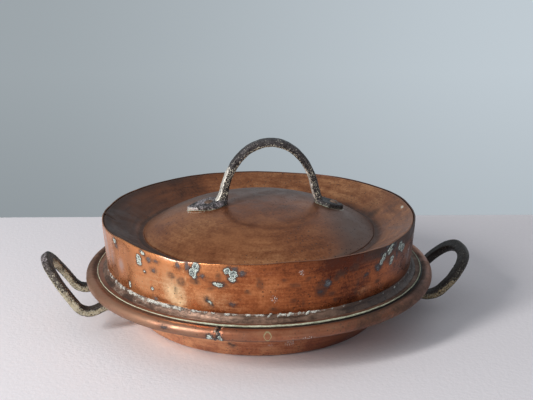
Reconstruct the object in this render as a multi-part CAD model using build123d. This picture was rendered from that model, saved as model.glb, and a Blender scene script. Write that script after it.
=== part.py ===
from build123d import *
import os
from math import asin, atan2, cos, degrees, hypot, pi, radians, sin, sqrt, tan

# Covered copper baking pan with a deep ember-holding lid.
# Millimetres. The origin is the centre of the pan's flat base, +Z is up,
# and +X runs through the right side handle.

# Pan, one copper sheet from the middle of the base to the rolled edge
pan_sheet = 1.5
base_radius = 103.5
base_corner = 5.0
wall_lean = 54.4
ledge_top = 40.6
ledge_bend = 2.5

# Rolled edge, wrapped round an iron wire and standing a little above the ledge
rim_radius = 150.0
roll_radius = 4.9
roll_rise = 1.2
roll_lead_bend = 3.5
roll_wrap = 255.0
roll_centre_radius = rim_radius - roll_radius
wire_radius = roll_radius - pan_sheet
wire_height = ledge_top + roll_rise - roll_radius

# Tin wiped on inside the pan and the lid
tin_coat = 0.3

# Lid, a raised dome joined at its edge to a brim: a valley for embers, a slope, a turned-down edge
lid_sheet = 1.2
dome_top = 97.85
dome_crown_radius = 321.0
dome_crown_turn = 8.0
dome_shoulder_radius = 120.0
dome_edge_slope = 36.6
valley_radius = 3.5
brim_slope = 28.6
brim_bend = 1.5
brim_bend_depth = 1.9
brim_lap = 7.0
brim_gap = 0.2

# Lid wall, a band that leans out a little, and the ring that it stands on
lid_rim_height = 87.5
lid_rim_radius = 134.4
lid_wall_foot_radius = 130.7
lid_wall_foot = 44.5
lid_wall_lean = degrees(atan2(lid_rim_radius - lid_wall_foot_radius, lid_rim_height - lid_wall_foot))
foot_sheet = 1.3
foot_radius = 139.9
foot_lap_gap = 0.15
foot_lap_top = 58.0
foot_cove = 3.0
solder_top = 48.0
solder_lip = 0.4
solder_reach = 135.5
solder_dip = (132.1, 43.8)

# Lid handle, a half-ellipse arch of flat bar whose right leg runs straight from a turn of the ellipse
# on, with a leaf-shaped palm at each foot
arch_azimuth = 7.5
arch_middle = 9.5
arch_half_span = 40.0
arch_spring = 96.0
arch_top = 148.8
arch_right_leg_turn = 20.0
arch_depth = 9.0
arch_thickness = 6.0
arch_corner = 1.8
arch_foot_run = 9.0
arch_foot_height = 93.0

# Side handles, each a loop of bar that leaves the wall, dips, and turns up at an elbow
bar_width = 9.0
bar_thickness = 6.4
bar_corner = 1.6
bar_run_in = 8.0
loop_roundness = 2.4
loop_points = 9
side_handles = {
    "left": dict(azimuth=191.3, elbow=(153.8, 16.7), rise=55.8, bend=12.8,
                 half_span=27.7, reach=38.9, root_height=29.5),
    "right": dict(azimuth=6.8, elbow=(149.3, 13.8), rise=44.3, bend=17.8,
                  half_span=31.1, reach=34.3, root_height=23.0),
}

# Palms, each (length past the bar, width), and their leaf outline as parts of those
palm_thickness = 3.2
palm_root = 2.0
lid_palms = {"left": (31.0, 25.0), "right": (21.0, 20.0)}
side_palm = (30.0, 18.0)
leaf_heel_cover = 0.4
leaf_heel_flank = (0.2, 0.5)
leaf_widest = 0.3
leaf_tip_flank = (0.72, 0.66)

# Rivets, with a low domed head let into the palm and a flat tail inside
rivet_radius = 2.5
rivet_head_radius = 4.4
rivet_head_height = 2.0
rivet_head_seat = 1.0
rivet_tail_radius = 4.2
rivet_tail_height = 1.4
rivet_tail_cover = 0.2
lid_rivet_offset = 12.0
side_rivet_offsets = (10.5, 21.5)


# Cylinders stand on their lower face
standing = (Align.CENTER, Align.CENTER, Align.MIN)


def along(heading, distance):
    """Step of a distance in a heading, in the (radius, height) plane."""
    return distance * cos(radians(heading)), distance * sin(radians(heading))


def beside(point, heading, distance):
    """Point beside a path, to its left by a distance."""
    step = along(heading + 90, distance)
    return point[0] + step[0], point[1] + step[1]


def upright(point):
    """Point of the (radius, height) plane in space."""
    return point[0], 0, point[1]


def follow(start, heading, moves, offset):
    """Edges of the line that keeps an offset to the left of a path of runs and bends."""
    edges = []
    point = start
    for move in moves:
        if len(move) == 1:
            step = along(heading, move[0])
            after = point[0] + step[0], point[1] + step[1]
            first, last = beside(point, heading, offset), beside(after, heading, offset)
            edges.append(Line(upright(first), upright(last)))
        else:
            radius, turn = move
            side = 1 if turn > 0 else -1
            centre = beside(point, heading, side * radius)
            reach = offset - side * radius
            first, middle, last = (
                beside(centre, heading + part * turn, reach) for part in (0, 0.5, 1)
            )
            edges.append(ThreePointArc(upright(first), upright(middle), upright(last)))
            heading += turn
            after = beside(centre, heading, -side * radius)
        point = after
    return edges


def turned_sheet(start, heading, moves, near, far):
    """Sheet turned about the axis, between two offsets from a path of runs and bends."""
    inner = follow(start, heading, moves, near)
    outer = follow(start, heading, moves, far)
    ends = [Line(inner[0] @ 0, outer[0] @ 0), Line(inner[-1] @ 1, outer[-1] @ 1)]
    return revolve(Face(Wire(inner + outer + ends)), Axis.Z, 360)


def turned_outline(*points):
    """Solid turned about the axis from a straight-sided outline."""
    return revolve(Face(Wire.make_polygon([upright(p) for p in points])), Axis.Z, 360)


def wall_radius(height):
    """Radius of the pan wall's outer face at a height."""
    return base_radius + height / tan(radians(wall_lean))


def pan_moves():
    """Outer face of the pan from the centre of the base to the end of the roll."""
    lean = radians(wall_lean)
    corner_tangent = base_corner * tan(lean / 2)
    ledge_underside = ledge_top - pan_sheet
    wall_rise = ledge_underside - (base_corner + ledge_bend) * (1 - cos(lean))
    wall_run = wall_rise / sin(lean)
    flat = base_radius - corner_tangent
    ledge_start = flat + (base_corner + ledge_bend) * sin(lean) + wall_run * cos(lean)
    lift = wire_height + wire_radius - ledge_underside
    lead = degrees(pi / 2 - asin(1 - lift / (roll_lead_bend + wire_radius)))
    lead_run = (roll_lead_bend + wire_radius) * sin(radians(lead))
    ledge_run = roll_centre_radius - lead_run - ledge_start
    bowl = [(flat,), (base_corner, wall_lean), (wall_run,), (ledge_bend, -wall_lean)]
    roll = [(ledge_run,), (roll_lead_bend, lead), (wire_radius, -lead - roll_wrap)]
    return bowl, roll


def lid_wall_radius(height):
    """Radius of the lid wall's outer face at a height."""
    return lid_wall_foot_radius + (height - lid_wall_foot) * tan(radians(lid_wall_lean))


def lid_top_moves():
    """Upper faces of the dome from its middle to its edge, and of the brim from there on."""
    crown = (dome_crown_radius, -dome_crown_turn)
    shoulder = (dome_shoulder_radius, dome_crown_turn - dome_edge_slope)
    valley = (valley_radius, dome_edge_slope + brim_slope)
    valley_start = (
        dome_crown_radius * sin(radians(dome_crown_turn))
        + dome_shoulder_radius * (sin(radians(dome_edge_slope)) - sin(radians(dome_crown_turn)))
    )
    slope = sin(radians(brim_slope))
    valley_end = valley_start + valley_radius * (sin(radians(dome_edge_slope)) + slope)
    inner_face = lid_wall_radius(lid_rim_height - brim_bend_depth) - lid_sheet
    slope_end = inner_face - (brim_gap + brim_bend) / cos(radians(lid_wall_lean)) - brim_bend * slope
    slope_run = (slope_end - valley_end) / cos(radians(brim_slope))
    turned_down = [(brim_bend, -90 - brim_slope - lid_wall_lean), (brim_lap,)]
    return [crown, shoulder], [valley, (slope_run,)], turned_down


def dome_point(radius):
    """Height of the dome's upper face, and its slope below level, at a radius."""
    turn = radians(dome_crown_turn)
    if radius <= dome_crown_radius * sin(turn):
        angle = asin(radius / dome_crown_radius)
        return dome_top - dome_crown_radius * (1 - cos(angle)), degrees(angle)
    shift = dome_crown_radius - dome_shoulder_radius
    angle = asin((radius - shift * sin(turn)) / dome_shoulder_radius)
    level = dome_top - dome_crown_radius + shift * cos(turn)
    return level + dome_shoulder_radius * cos(angle), degrees(angle)


def dome_frame(x, y):
    """Plane on the dome at a point seen from above, its normal pointing out of the metal."""
    radius = hypot(x, y)
    height, slope = dome_point(radius)
    out = atan2(y, x)
    normal = (sin(radians(slope)) * cos(out), sin(radians(slope)) * sin(out), cos(radians(slope)))
    return Plane(origin=(x, y, height), x_dir=(cos(out), sin(out), -tan(radians(slope))), z_dir=normal)


def wall_frame(azimuth, height):
    """Plane on the pan wall's outer face, with X along the wall and Z out of the metal."""
    out = radians(azimuth)
    radius = wall_radius(height)
    lean = radians(wall_lean)
    normal = (sin(lean) * cos(out), sin(lean) * sin(out), -cos(lean))
    return Plane(
        origin=(radius * cos(out), radius * sin(out), height),
        x_dir=(-sin(out), cos(out), 0),
        z_dir=normal,
    )


def leaf(length, width, side, bar):
    """Leaf outline: round heel just behind a bar, widest a third of the way along, pointed at the end."""
    half = width / 2
    reach = bar / 2 + leaf_heel_cover
    heel = (-reach * side, 0)
    tip = (length * side, 0)
    heel_x, heel_y = -leaf_heel_flank[0] * reach * side, leaf_heel_flank[1] * half
    tip_x, tip_y = leaf_tip_flank[0] * length * side, leaf_tip_flank[1] * half
    widest = leaf_widest * length * side
    upper = [ThreePointArc(heel, (heel_x, heel_y), (widest, half)),
             ThreePointArc((widest, half), (tip_x, tip_y), tip)]
    lower = [ThreePointArc(tip, (tip_x, -tip_y), (widest, -half)),
             ThreePointArc((widest, -half), (heel_x, -heel_y), heel)]
    return Face(Wire(upper + lower))


def bar_face(origin, x_dir, z_dir, width, thickness, corner):
    """Rounded section of a bar at the start of its path."""
    plane = Plane(origin=origin, x_dir=x_dir, z_dir=z_dir)
    return plane * RectangleRounded(width, thickness, corner)


def shank(depth):
    """Straight stem of a rivet, from a depth in the metal to half way up its head."""
    length = depth + palm_thickness + rivet_head_height / 4
    return Pos(0, 0, -depth) * Cylinder(rivet_radius, length, align=standing)


def rivet(frame, grip, layer, sheets):
    """Rivet along a frame's Z: low domed head on the palm layer, stem, and tail in the sheets."""
    cap_radius = (rivet_head_radius ** 2 + rivet_head_height ** 2) / (2 * rivet_head_height)
    cap = Pos(0, 0, palm_thickness + rivet_head_height - cap_radius) * Sphere(cap_radius)
    seat = palm_thickness - rivet_head_seat
    cap &= Pos(0, 0, seat) * Cylinder(rivet_head_radius, 2 * rivet_head_height, align=standing)
    tail_depth = grip + rivet_tail_height
    tail = Pos(0, 0, -tail_depth) * Cylinder(rivet_tail_radius, tail_depth - grip / 2, align=standing)
    head = frame * cap - layer
    tail = frame * tail - sheets
    return frame * shank(tail_depth - rivet_tail_cover) + head + tail


def side_loop(azimuth, elbow, rise, bend, half_span, reach, root_height):
    """Bent bar of one side handle, with its two roots running into the wall."""
    root_radius = sqrt(wall_radius(root_height) ** 2 - half_span ** 2)
    dip = degrees(atan2(root_height - elbow[1], elbow[0] - root_radius))
    tangent = bend * tan(radians(rise + dip) / 2)
    down, up = along(-dip, 1), along(rise, 1)
    lead_in = elbow[0] - root_radius + bar_run_in
    root = elbow[0] - lead_in * down[0], elbow[1] - lead_in * down[1]
    bend_start = elbow[0] - tangent * down[0], elbow[1] - tangent * down[1]
    bend_end = elbow[0] + tangent * up[0], elbow[1] + tangent * up[1]
    down_way, up_way = (down[0], 0, down[1]), (up[0], 0, up[1])
    bar = Part()
    for y in (-half_span, half_span):
        corners = [(point[0], y, point[1]) for point in (root, bend_start, bend_end)]
        path = Wire([Line(corners[0], corners[1]),
                     TangentArc(corners[1], corners[2], tangent=down_way)])
        section = bar_face(corners[0], (0, 1, 0), down_way, bar_width, bar_thickness, bar_corner)
        bar += sweep(section, path)
    outline = []
    for count in range(loop_points):
        angle = pi * count / (loop_points - 1)
        side = 1 if angle < pi / 2 else -1
        across = side * half_span * abs(cos(angle)) ** (2 / loop_roundness)
        out = reach * abs(sin(angle)) ** (2 / loop_roundness)
        outline.append((bend_end[0] + out * up[0], across, bend_end[1] + out * up[1]))
    loop = Spline(outline, tangents=[up_way, (-up[0], 0, -up[1])])
    section = bar_face(outline[0], (0, 1, 0), up_way, bar_width, bar_thickness, bar_corner)
    bar += sweep(section, loop, is_frenet=True)
    return Rot(0, 0, azimuth) * bar


def side_handle(spec):
    """Side handle with its palms, the layer that they lie in, and the frames of its rivets."""
    height = spec["root_height"]
    radius = wall_radius(height)
    spread = degrees(asin(spec["half_span"] / radius))
    bar = side_loop(**spec)
    wall_length = ledge_top / sin(radians(wall_lean))
    layer = turned_sheet((wall_radius(0), 0), wall_lean, [(wall_length,)], palm_root, -palm_thickness)
    length, width = side_palm
    frames = []
    for side in (-1, 1):
        root_azimuth = spec["azimuth"] + side * spread
        middle = wall_frame(root_azimuth + side * degrees(length / 2 / radius), height)
        outline = Pos(-side * length / 2, 0) * leaf(length, width, side, bar_width)
        bar += layer & (middle * extrude(outline, length, both=True))
        frames += [wall_frame(root_azimuth + side * degrees(offset / radius), height)
                   for offset in side_rivet_offsets]
    low, high = -ledge_top, 2 * ledge_top
    inside = turned_outline((0, low), (wall_radius(low), low), (wall_radius(high), high), (0, high))
    return bar - inside, layer, frames


def lid_handle_bar():
    """Arched bar of the lid handle, with its feet running into the dome, and where they meet it."""
    left = arch_middle - arch_half_span
    low = arch_spring - arch_foot_run
    upright_plane = Plane(origin=(arch_middle, 0, arch_spring), x_dir=(1, 0, 0), z_dir=(0, -1, 0))
    rise = arch_top - arch_spring
    arch = upright_plane * EllipticalCenterArc(
        (0, 0), arch_half_span, rise, start_angle=arch_right_leg_turn, arc_size=180 - arch_right_leg_turn)
    turn = radians(arch_right_leg_turn)
    bend_x, bend_z = arch_middle + arch_half_span * cos(turn), arch_spring + rise * sin(turn)
    splay = arch_half_span * sin(turn) / (rise * cos(turn))
    right_foot = bend_x + (bend_z - arch_foot_height) * splay
    path = Wire([Line((left, 0, low), (left, 0, arch_spring)), *arch.edges(),
                 Line((bend_x, 0, bend_z), (bend_x + (bend_z - low) * splay, 0, low))])
    section = bar_face((left, 0, low), (0, 1, 0), (0, 0, 1), arch_depth, arch_thickness, arch_corner)
    return sweep(section, path), (left, right_foot)


def lid_handle_parts():
    """Lid handle with its palms, the layer that they lie in, and the frames of its rivets."""
    bar, feet = lid_handle_bar()
    dome, _, _ = lid_top_moves()
    layer = turned_sheet((0, dome_top), 0, dome, -palm_root, palm_thickness)
    skin = follow((0, dome_top), 0, dome, 0)
    edge = skin[-1] @ 1
    middle, corner = upright((0, lid_wall_foot)), upright((edge.X, lid_wall_foot))
    sides = [Line(edge, corner), Line(corner, middle), Line(middle, skin[0] @ 0)]
    under = revolve(Face(Wire(skin + sides)), Axis.Z, 360)
    turn = Rot(0, 0, arch_azimuth)
    handle = turn * bar
    frames = []
    for side, foot, name in ((-1, feet[0], "left"), (1, feet[1], "right")):
        length, width = lid_palms[name]
        outline = Pos(foot, 0, lid_wall_foot) * leaf(length, width, side, arch_thickness)
        handle += layer & (turn * extrude(outline, dome_top, dir=(0, 0, 1)))
        spot = foot + side * lid_rivet_offset
        azimuth = radians(arch_azimuth)
        frames.append(dome_frame(spot * cos(azimuth), spot * sin(azimuth)))
    return handle - under, layer, frames


def riveted(handle, layer, frames, sheets, grip):
    """Drill a handle and the sheets behind it, and fill each hole with a rivet."""
    rivets = [rivet(frame, grip, layer, sheets) for frame in frames]
    holes = [frame * shank(2 * grip) for frame in frames]
    drilled = [sheet - holes for sheet in sheets]
    return handle - holes, drilled, Compound(children=[solid for item in rivets for solid in item.solids()])


def build():
    """All the pieces by node name."""
    parts = {}
    bowl, roll = pan_moves()
    pan = turned_sheet((0, 0), 0, bowl + roll, 0, pan_sheet)
    pan_tin = turned_sheet((0, 0), 0, bowl[:-1], pan_sheet, pan_sheet + tin_coat)
    wire = Torus(roll_centre_radius, wire_radius)
    parts["rim_wire"] = Pos(0, 0, wire_height) * wire
    for name, spec in side_handles.items():
        handle, layer, frames = side_handle(spec)
        handle, (pan, pan_tin), rivets = riveted(
            handle, layer, frames, (pan, pan_tin), pan_sheet + tin_coat)
        parts[f"{name}_handle"] = handle
        parts[f"{name}_handle_rivets"] = rivets
    parts["pan_body"] = pan
    parts["pan_tin_lining"] = pan_tin

    dome, brim, turned_down = lid_top_moves()
    seam = follow((0, dome_top), 0, dome, 0)[-1] @ 1
    lid_dome = turned_sheet((0, dome_top), 0, dome, 0, -lid_sheet)
    lid_brim = turned_sheet((seam.X, seam.Z), -dome_edge_slope, brim + turned_down, 0, -lid_sheet)
    lid_tin = turned_sheet((0, dome_top), 0, dome + brim, -lid_sheet, -lid_sheet - tin_coat)
    handle, layer, frames = lid_handle_parts()
    handle, (lid_dome, lid_tin), rivets = riveted(
        handle, layer, frames, (lid_dome, lid_tin), lid_sheet + tin_coat)
    parts["lid_handle"] = handle
    parts["lid_handle_rivets"] = rivets
    parts["lid_dome"] = lid_dome
    parts["lid_brim"] = lid_brim
    parts["lid_tin_lining"] = lid_tin
    wall = turned_outline(
        (lid_wall_foot_radius - lid_sheet, lid_wall_foot), (lid_wall_foot_radius, lid_wall_foot),
        (lid_rim_radius, lid_rim_height), (lid_rim_radius - lid_sheet, lid_rim_height))
    foot_top = ledge_top + foot_sheet
    lean = radians(lid_wall_lean)
    lap_radius = lid_wall_radius(foot_lap_top) - lid_sheet - foot_lap_gap
    lap = (foot_lap_top - foot_top - foot_cove * (1 + sin(lean))) / cos(lean)
    flange = foot_radius - lap_radius + lap * sin(lean) - foot_cove * cos(lean)
    foot = turned_sheet((lap_radius, foot_lap_top), -90 - lid_wall_lean,
                        [(lap,), (foot_cove, 90 + lid_wall_lean), (flange,)], 0, -foot_sheet)
    wall_middle = lid_wall_foot_radius - lid_sheet / 2
    bead_top, bead_end = (lid_wall_radius(solder_top) + solder_lip, solder_top), (solder_reach, foot_top)
    bead_inner = [(wall_middle, solder_top), (wall_middle, foot_top)]
    bead = Wire([Line(upright(bead_inner[1]), upright(bead_inner[0])),
                 Line(upright(bead_inner[0]), upright(bead_top)),
                 ThreePointArc(upright(bead_top), upright(solder_dip), upright(bead_end)),
                 Line(upright(bead_end), upright(bead_inner[1]))])
    parts["lid_wall"] = wall
    parts["lid_foot_ring"] = foot
    parts["lid_foot_solder"] = revolve(Face(bead), Axis.Z, 360) - wall - foot
    return parts


os.makedirs("parts", exist_ok=True)
for node, shape in build().items():
    export_step(shape, f"parts/{node}.step")
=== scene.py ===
import math
import bmesh
import bpy
import numpy as np
from mathutils import Matrix, Vector


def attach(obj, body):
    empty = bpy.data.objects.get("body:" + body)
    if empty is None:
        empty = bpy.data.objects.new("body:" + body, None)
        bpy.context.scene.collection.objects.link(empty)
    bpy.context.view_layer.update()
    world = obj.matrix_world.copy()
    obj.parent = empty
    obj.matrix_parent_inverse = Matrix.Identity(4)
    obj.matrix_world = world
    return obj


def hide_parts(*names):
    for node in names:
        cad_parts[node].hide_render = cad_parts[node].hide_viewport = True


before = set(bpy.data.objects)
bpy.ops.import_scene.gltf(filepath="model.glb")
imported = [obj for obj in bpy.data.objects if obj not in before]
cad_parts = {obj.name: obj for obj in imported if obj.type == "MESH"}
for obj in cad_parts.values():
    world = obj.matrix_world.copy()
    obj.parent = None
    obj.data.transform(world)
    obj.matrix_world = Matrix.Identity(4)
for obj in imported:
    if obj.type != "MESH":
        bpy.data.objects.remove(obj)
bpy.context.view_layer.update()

mm = 0.001

# Covered copper baking pan. Sizes are in millimetres until a mesh is made, and an
# azimuth is in degrees from the front, growing to the right.

# Pan sheet, from the middle of the base to the rolled edge
pan_sheet = 1.5
base_radius = 103.5
base_corner = 5.0
wall_lean = 54.4
ledge_top = 40.6
ledge_bend = 2.5
rim_radius = 150.0
roll_radius = 4.9
roll_rise = 1.2
roll_lead_bend = 3.5
roll_wrap = 255.0
roll_centre_radius = rim_radius - roll_radius
wire_radius = roll_radius - pan_sheet
wire_height = ledge_top + roll_rise - roll_radius

# Lid top, from the middle of the dome to the turned-down edge of the brim
lid_sheet = 1.2
tin_coat = 0.3
dome_top = 97.85
dome_crown_radius = 321.0
dome_crown_turn = 8.0
dome_shoulder_radius = 120.0
dome_edge_slope = 36.6
valley_radius = 3.5
brim_slope = 28.6
brim_bend = 1.5
brim_bend_depth = 1.9
brim_lap = 7.0
brim_gap = 0.2

# Lid wall, the ring that it stands on, and the solder between them
lid_rim_height = 87.5
lid_rim_radius = 134.4
lid_wall_foot_radius = 130.7
lid_wall_foot = 44.5
lid_wall_height = lid_rim_height - lid_wall_foot
lid_wall_lean = math.degrees(math.atan2(lid_rim_radius - lid_wall_foot_radius, lid_wall_height))
foot_sheet = 1.3
foot_radius = 139.9
foot_lap_gap = 0.15
foot_lap_top = 58.0
foot_cove = 3.0
foot_top = ledge_top + foot_sheet
solder_top = 48.0
solder_lip = 0.4
solder_reach = 135.5
solder_dip = (132.1, 43.8)

# Lid handle: its turn in plan, where its legs meet the dome along its own line, and its palms,
# each (length, width)
arch_turn = 7.5
arch_feet = (-30.5, 52.9)
arch_palms = {"left": (31.0, 25.0), "right": (21.0, 20.0)}

# Share by which the segments of turned pieces crowd to the front
front_crowding = 0.45


def polar(radius, azimuth):
    """Point in plan at a radius and an azimuth."""
    turn = math.radians(azimuth)
    return radius * math.sin(turn), -radius * math.cos(turn)


def bump(distance, width):
    """Smooth hump of height one, that is nearly gone at its width."""
    return np.exp(-2.5 * (distance / width) ** 2)


def ease(low, high, value):
    """Smooth step from zero to one between two values."""
    part = np.clip((value - low) / (high - low), 0, 1)
    return part * part * (3 - 2 * part)


def degrees_from(centre, azimuth):
    """Degrees round the axis from a centre azimuth, the short way."""
    return (azimuth - centre + 180) % 360 - 180


def front_share(azimuth):
    """One over the front and the sides, falling to zero at the back."""
    return ease(150, 105, np.abs(azimuth))


# Node trees. A Wire is one value in a tree, and sums and products of wires add nodes.
class Wire:
    """Value carried by a node's socket."""

    def __init__(self, bench, socket):
        self.bench = bench
        self.socket = socket

    def maths(self, operation, *values):
        vector = any(isinstance(v, Wire) and v.socket.type in ("VECTOR", "RGBA") for v in values)
        kind = "ShaderNodeVectorMath" if vector else "ShaderNodeMath"
        if vector:
            values = [(v, v, v) if isinstance(v, (int, float)) else v for v in values]
        return self.bench.node(kind, {"operation": operation}, dict(enumerate(values)))

    def __add__(self, other):
        return self.maths("ADD", self, other)

    def __radd__(self, other):
        return self.maths("ADD", other, self)

    def __sub__(self, other):
        return self.maths("SUBTRACT", self, other)

    def __rsub__(self, other):
        return self.maths("SUBTRACT", other, self)

    def __mul__(self, other):
        return self.maths("MULTIPLY", self, other)

    def __rmul__(self, other):
        return self.maths("MULTIPLY", other, self)

    def __truediv__(self, other):
        return self.maths("DIVIDE", self, other)

    def __rtruediv__(self, other):
        return self.maths("DIVIDE", other, self)

    def step(self, low, high):
        """Smooth step from zero at the low value to one at the high one."""
        return self.bench.node("ShaderNodeMapRange", {"interpolation_type": "SMOOTHSTEP"},
                               {"Value": self, "From Min": low, "From Max": high})

    def clamp(self):
        return self.maths("MAXIMUM", self.maths("MINIMUM", self, 1.0), 0.0)

    def length(self):
        return self.bench.node("ShaderNodeVectorMath", {"operation": "LENGTH"}, {0: self}, "Value")

    def axis(self, letter):
        return self.bench.node("ShaderNodeSeparateXYZ", {}, {0: self}, "XYZ".index(letter))


class Bench:
    """Node tree that is being put together."""

    def __init__(self, tree):
        self.tree = tree

    def node(self, kind, settings=None, values=None, output=0):
        made = self.tree.nodes.new(kind)
        for name, value in (settings or {}).items():
            if name == "stops":
                self.ramp_stops(made.color_ramp, value)
            else:
                setattr(made, name, value)
        for key, value in (values or {}).items():
            if isinstance(value, Wire):
                self.tree.links.new(value.socket, made.inputs[key])
            else:
                made.inputs[key].default_value = value
        return Wire(self, made.outputs[output]) if made.outputs else made

    def ramp_stops(self, ramp, stops):
        while len(ramp.elements) < len(stops):
            ramp.elements.new(0.5)
        for element, (place, colour) in zip(ramp.elements, stops):
            element.position = place
            element.color = (*colour, 1)

    def noise(self, place, scale, detail=3.0, roughness=0.55, distortion=0.0):
        return self.node("ShaderNodeTexNoise", {"noise_dimensions": "3D"}, {
            "Vector": place, "Scale": scale, "Detail": detail, "Roughness": roughness,
            "Distortion": distortion})

    def cells(self, place, scale):
        """Distance to the nearest of scattered points, in parts of their spacing."""
        return self.node("ShaderNodeTexVoronoi", {"feature": "F1"}, {"Vector": place, "Scale": scale})

    def mix(self, share, first, second):
        """Colour between two colours, by a share from zero to one."""
        first, second = [(*c, 1) if isinstance(c, tuple) else c for c in (first, second)]
        return self.node("ShaderNodeMix", {"data_type": "RGBA"}, {0: share, 6: first, 7: second}, 2)

    def ramp(self, value, *stops):
        return self.node("ShaderNodeValToRGB", {"stops": stops}, {0: value})

    def attribute(self, name):
        return self.node("ShaderNodeAttribute", {"attribute_name": name}, {}, "Fac")

    def bumps(self, height, distance):
        """Relief of a height from zero to one, over a distance in millimetres."""
        return self.node("ShaderNodeBump", {}, {
            "Height": height, "Distance": distance * mm, "Strength": 1.0})


def new_group(name, sockets):
    """Empty geometry tree with named inputs, and its bench and group wires."""
    tree = bpy.data.node_groups.new(name, "GeometryNodeTree")
    face = tree.interface
    face.new_socket("Geometry", in_out="INPUT", socket_type="NodeSocketGeometry")
    for label, kind in sockets:
        face.new_socket(label, in_out="INPUT", socket_type="NodeSocket" + kind)
    face.new_socket("Geometry", in_out="OUTPUT", socket_type="NodeSocketGeometry")
    bench = Bench(tree)
    entry = tree.nodes.new("NodeGroupInput")
    given = {socket.name: Wire(bench, socket) for socket in entry.outputs if socket.name}
    return bench, given


def close_group(bench, geometry, finish):
    """End a geometry tree with real geometry in its finish."""
    real = bench.node("GeometryNodeRealizeInstances", {}, {"Geometry": geometry})
    done = bench.node("GeometryNodeSetMaterial", {}, {"Geometry": real, "Material": finish})
    out = bench.tree.nodes.new("NodeGroupOutput")
    bench.tree.links.new(done.socket, out.inputs[0])
    return bench.tree


def grown(name, mesh, tree, **inputs):
    """Plain mesh piece from a geometry tree that is run on a mesh."""
    piece = bpy.data.objects.new(name, mesh)
    bpy.context.collection.objects.link(piece)
    modifier = piece.modifiers.new("grow", "NODES")
    modifier.node_group = tree
    for item in tree.interface.items_tree:
        key = item.name.lower().replace(" ", "_")
        if item.in_out == "INPUT" and key in inputs:
            modifier[item.identifier] = inputs[key]
    seen = piece.evaluated_get(bpy.context.evaluated_depsgraph_get())
    plain = bpy.data.meshes.new_from_object(seen)
    piece.modifiers.clear()
    piece.data = plain
    return piece


def turned_tree():
    """Sheet turned about Z from a section, with hammer marks and slower swells."""
    bench, given = new_group("turned_sheet", [
        ("Segments", "Int"), ("Crowding", "Float"), ("Swell Size", "Float"),
        ("Swell Depth", "Float"), ("Hammer Size", "Float"), ("Hammer Depth", "Float"),
        ("Seed", "Float"), ("Finish", "Material")])
    section, segments = given["Geometry"], given["Segments"]
    count = bench.node("GeometryNodeAttributeDomainSize", {"component": "MESH"}, {"Geometry": section})
    rows = segments + 1
    grid = bench.node("GeometryNodeMeshGrid", {}, {"Vertices X": count, "Vertices Y": rows})
    number = bench.node("GeometryNodeInputIndex")
    station = number.maths("FLOOR", (number + 0.5) / rows)
    slice_number = number - station * rows
    here = bench.node("GeometryNodeInputPosition")
    sampled = bench.node("GeometryNodeSampleIndex", {"data_type": "FLOAT_VECTOR", "domain": "POINT"},
                         {"Geometry": section, "Value": here, "Index": station})
    even = slice_number / segments * math.tau
    turn = even + given["Crowding"] * even.maths("COSINE", even)
    place = bench.node("ShaderNodeCombineXYZ", {}, {
        0: sampled.axis("X") * turn.maths("COSINE", turn),
        1: sampled.axis("X") * turn.maths("SINE", turn), 2: sampled.axis("Z")})
    turned = bench.node("GeometryNodeSetPosition", {}, {"Geometry": grid, "Position": place})
    whole = bench.node("GeometryNodeMergeByDistance", {}, {"Geometry": turned, "Distance": 0.01 * mm})
    offset = None
    for size, depth in (("Swell Size", "Swell Depth"), ("Hammer Size", "Hammer Depth")):
        wobble = bench.node("ShaderNodeTexNoise", {"noise_dimensions": "4D"}, {
            "Vector": here, "W": given["Seed"], "Scale": 1.0 / given[size], "Detail": 1.0}, "Color")
        push = (wobble - 0.5) * given[depth]
        offset = push if offset is None else offset + push
    hammered = bench.node("GeometryNodeSetPosition", {}, {"Geometry": whole, "Offset": offset})
    return close_group(bench, hammered, given["Finish"])


def along(heading, distance):
    """Step of a distance in a heading, in the (radius, height) plane."""
    return distance * math.cos(math.radians(heading)), distance * math.sin(math.radians(heading))


def beside(point, heading, distance):
    """Point beside a path, to its left by a distance."""
    step = along(heading + 90, distance)
    return point[0] + step[0], point[1] + step[1]


# Most degrees of a bend between two points of a section
coarsest_turn = 14


def follow(start, heading, moves, offset, pitch):
    """Points of the line that keeps an offset to the left of a path of runs and bends.

    The pitch between points is one number, or one for each move.
    """
    points = [beside(start, heading, offset)]
    point = start
    pitches = pitch if isinstance(pitch, tuple) else (pitch,) * len(moves)
    for move, gap in zip(moves, pitches):
        if len(move) == 1:
            steps = max(1, round(move[0] / gap))
            for count in range(1, steps + 1):
                step = along(heading, move[0] * count / steps)
                points.append(beside((point[0] + step[0], point[1] + step[1]), heading, offset))
            point = point[0] + step[0], point[1] + step[1]
        else:
            radius, turn = move
            side = 1 if turn > 0 else -1
            centre = beside(point, heading, side * radius)
            arc = abs(math.radians(turn)) * max(radius, abs(offset - side * radius))
            steps = max(round(arc / gap), round(abs(turn) / coarsest_turn), 3)
            points += [beside(centre, heading + turn * count / steps, offset - side * radius)
                       for count in range(1, steps + 1)]
            heading += turn
            point = beside(centre, heading, -side * radius)
    return points


def sheet_section(start, heading, moves, near, far, pitch, inner_pitch):
    """Closed outline of a sheet, finer on the near face."""
    face = follow(start, heading, moves, near, pitch)
    back = follow(start, heading, moves, far, inner_pitch)
    return face + back[::-1] + face[:1]


def turned(name, section, segments, swell, hammer, seed, finish):
    """Piece turned from a closed outline; a swell and a hammer are (size, depth)."""
    mesh = bpy.data.meshes.new(name)
    mesh.from_pydata([(radius * mm, 0, height * mm) for radius, height in section], [], [])
    piece = grown(name, mesh, turned_sheet, segments=segments, crowding=front_crowding,
                  swell_size=swell[0] * mm, swell_depth=swell[1] * mm,
                  hammer_size=hammer[0] * mm, hammer_depth=hammer[1] * mm,
                  seed=seed, finish=finish)
    return face_outwards(piece)


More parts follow.
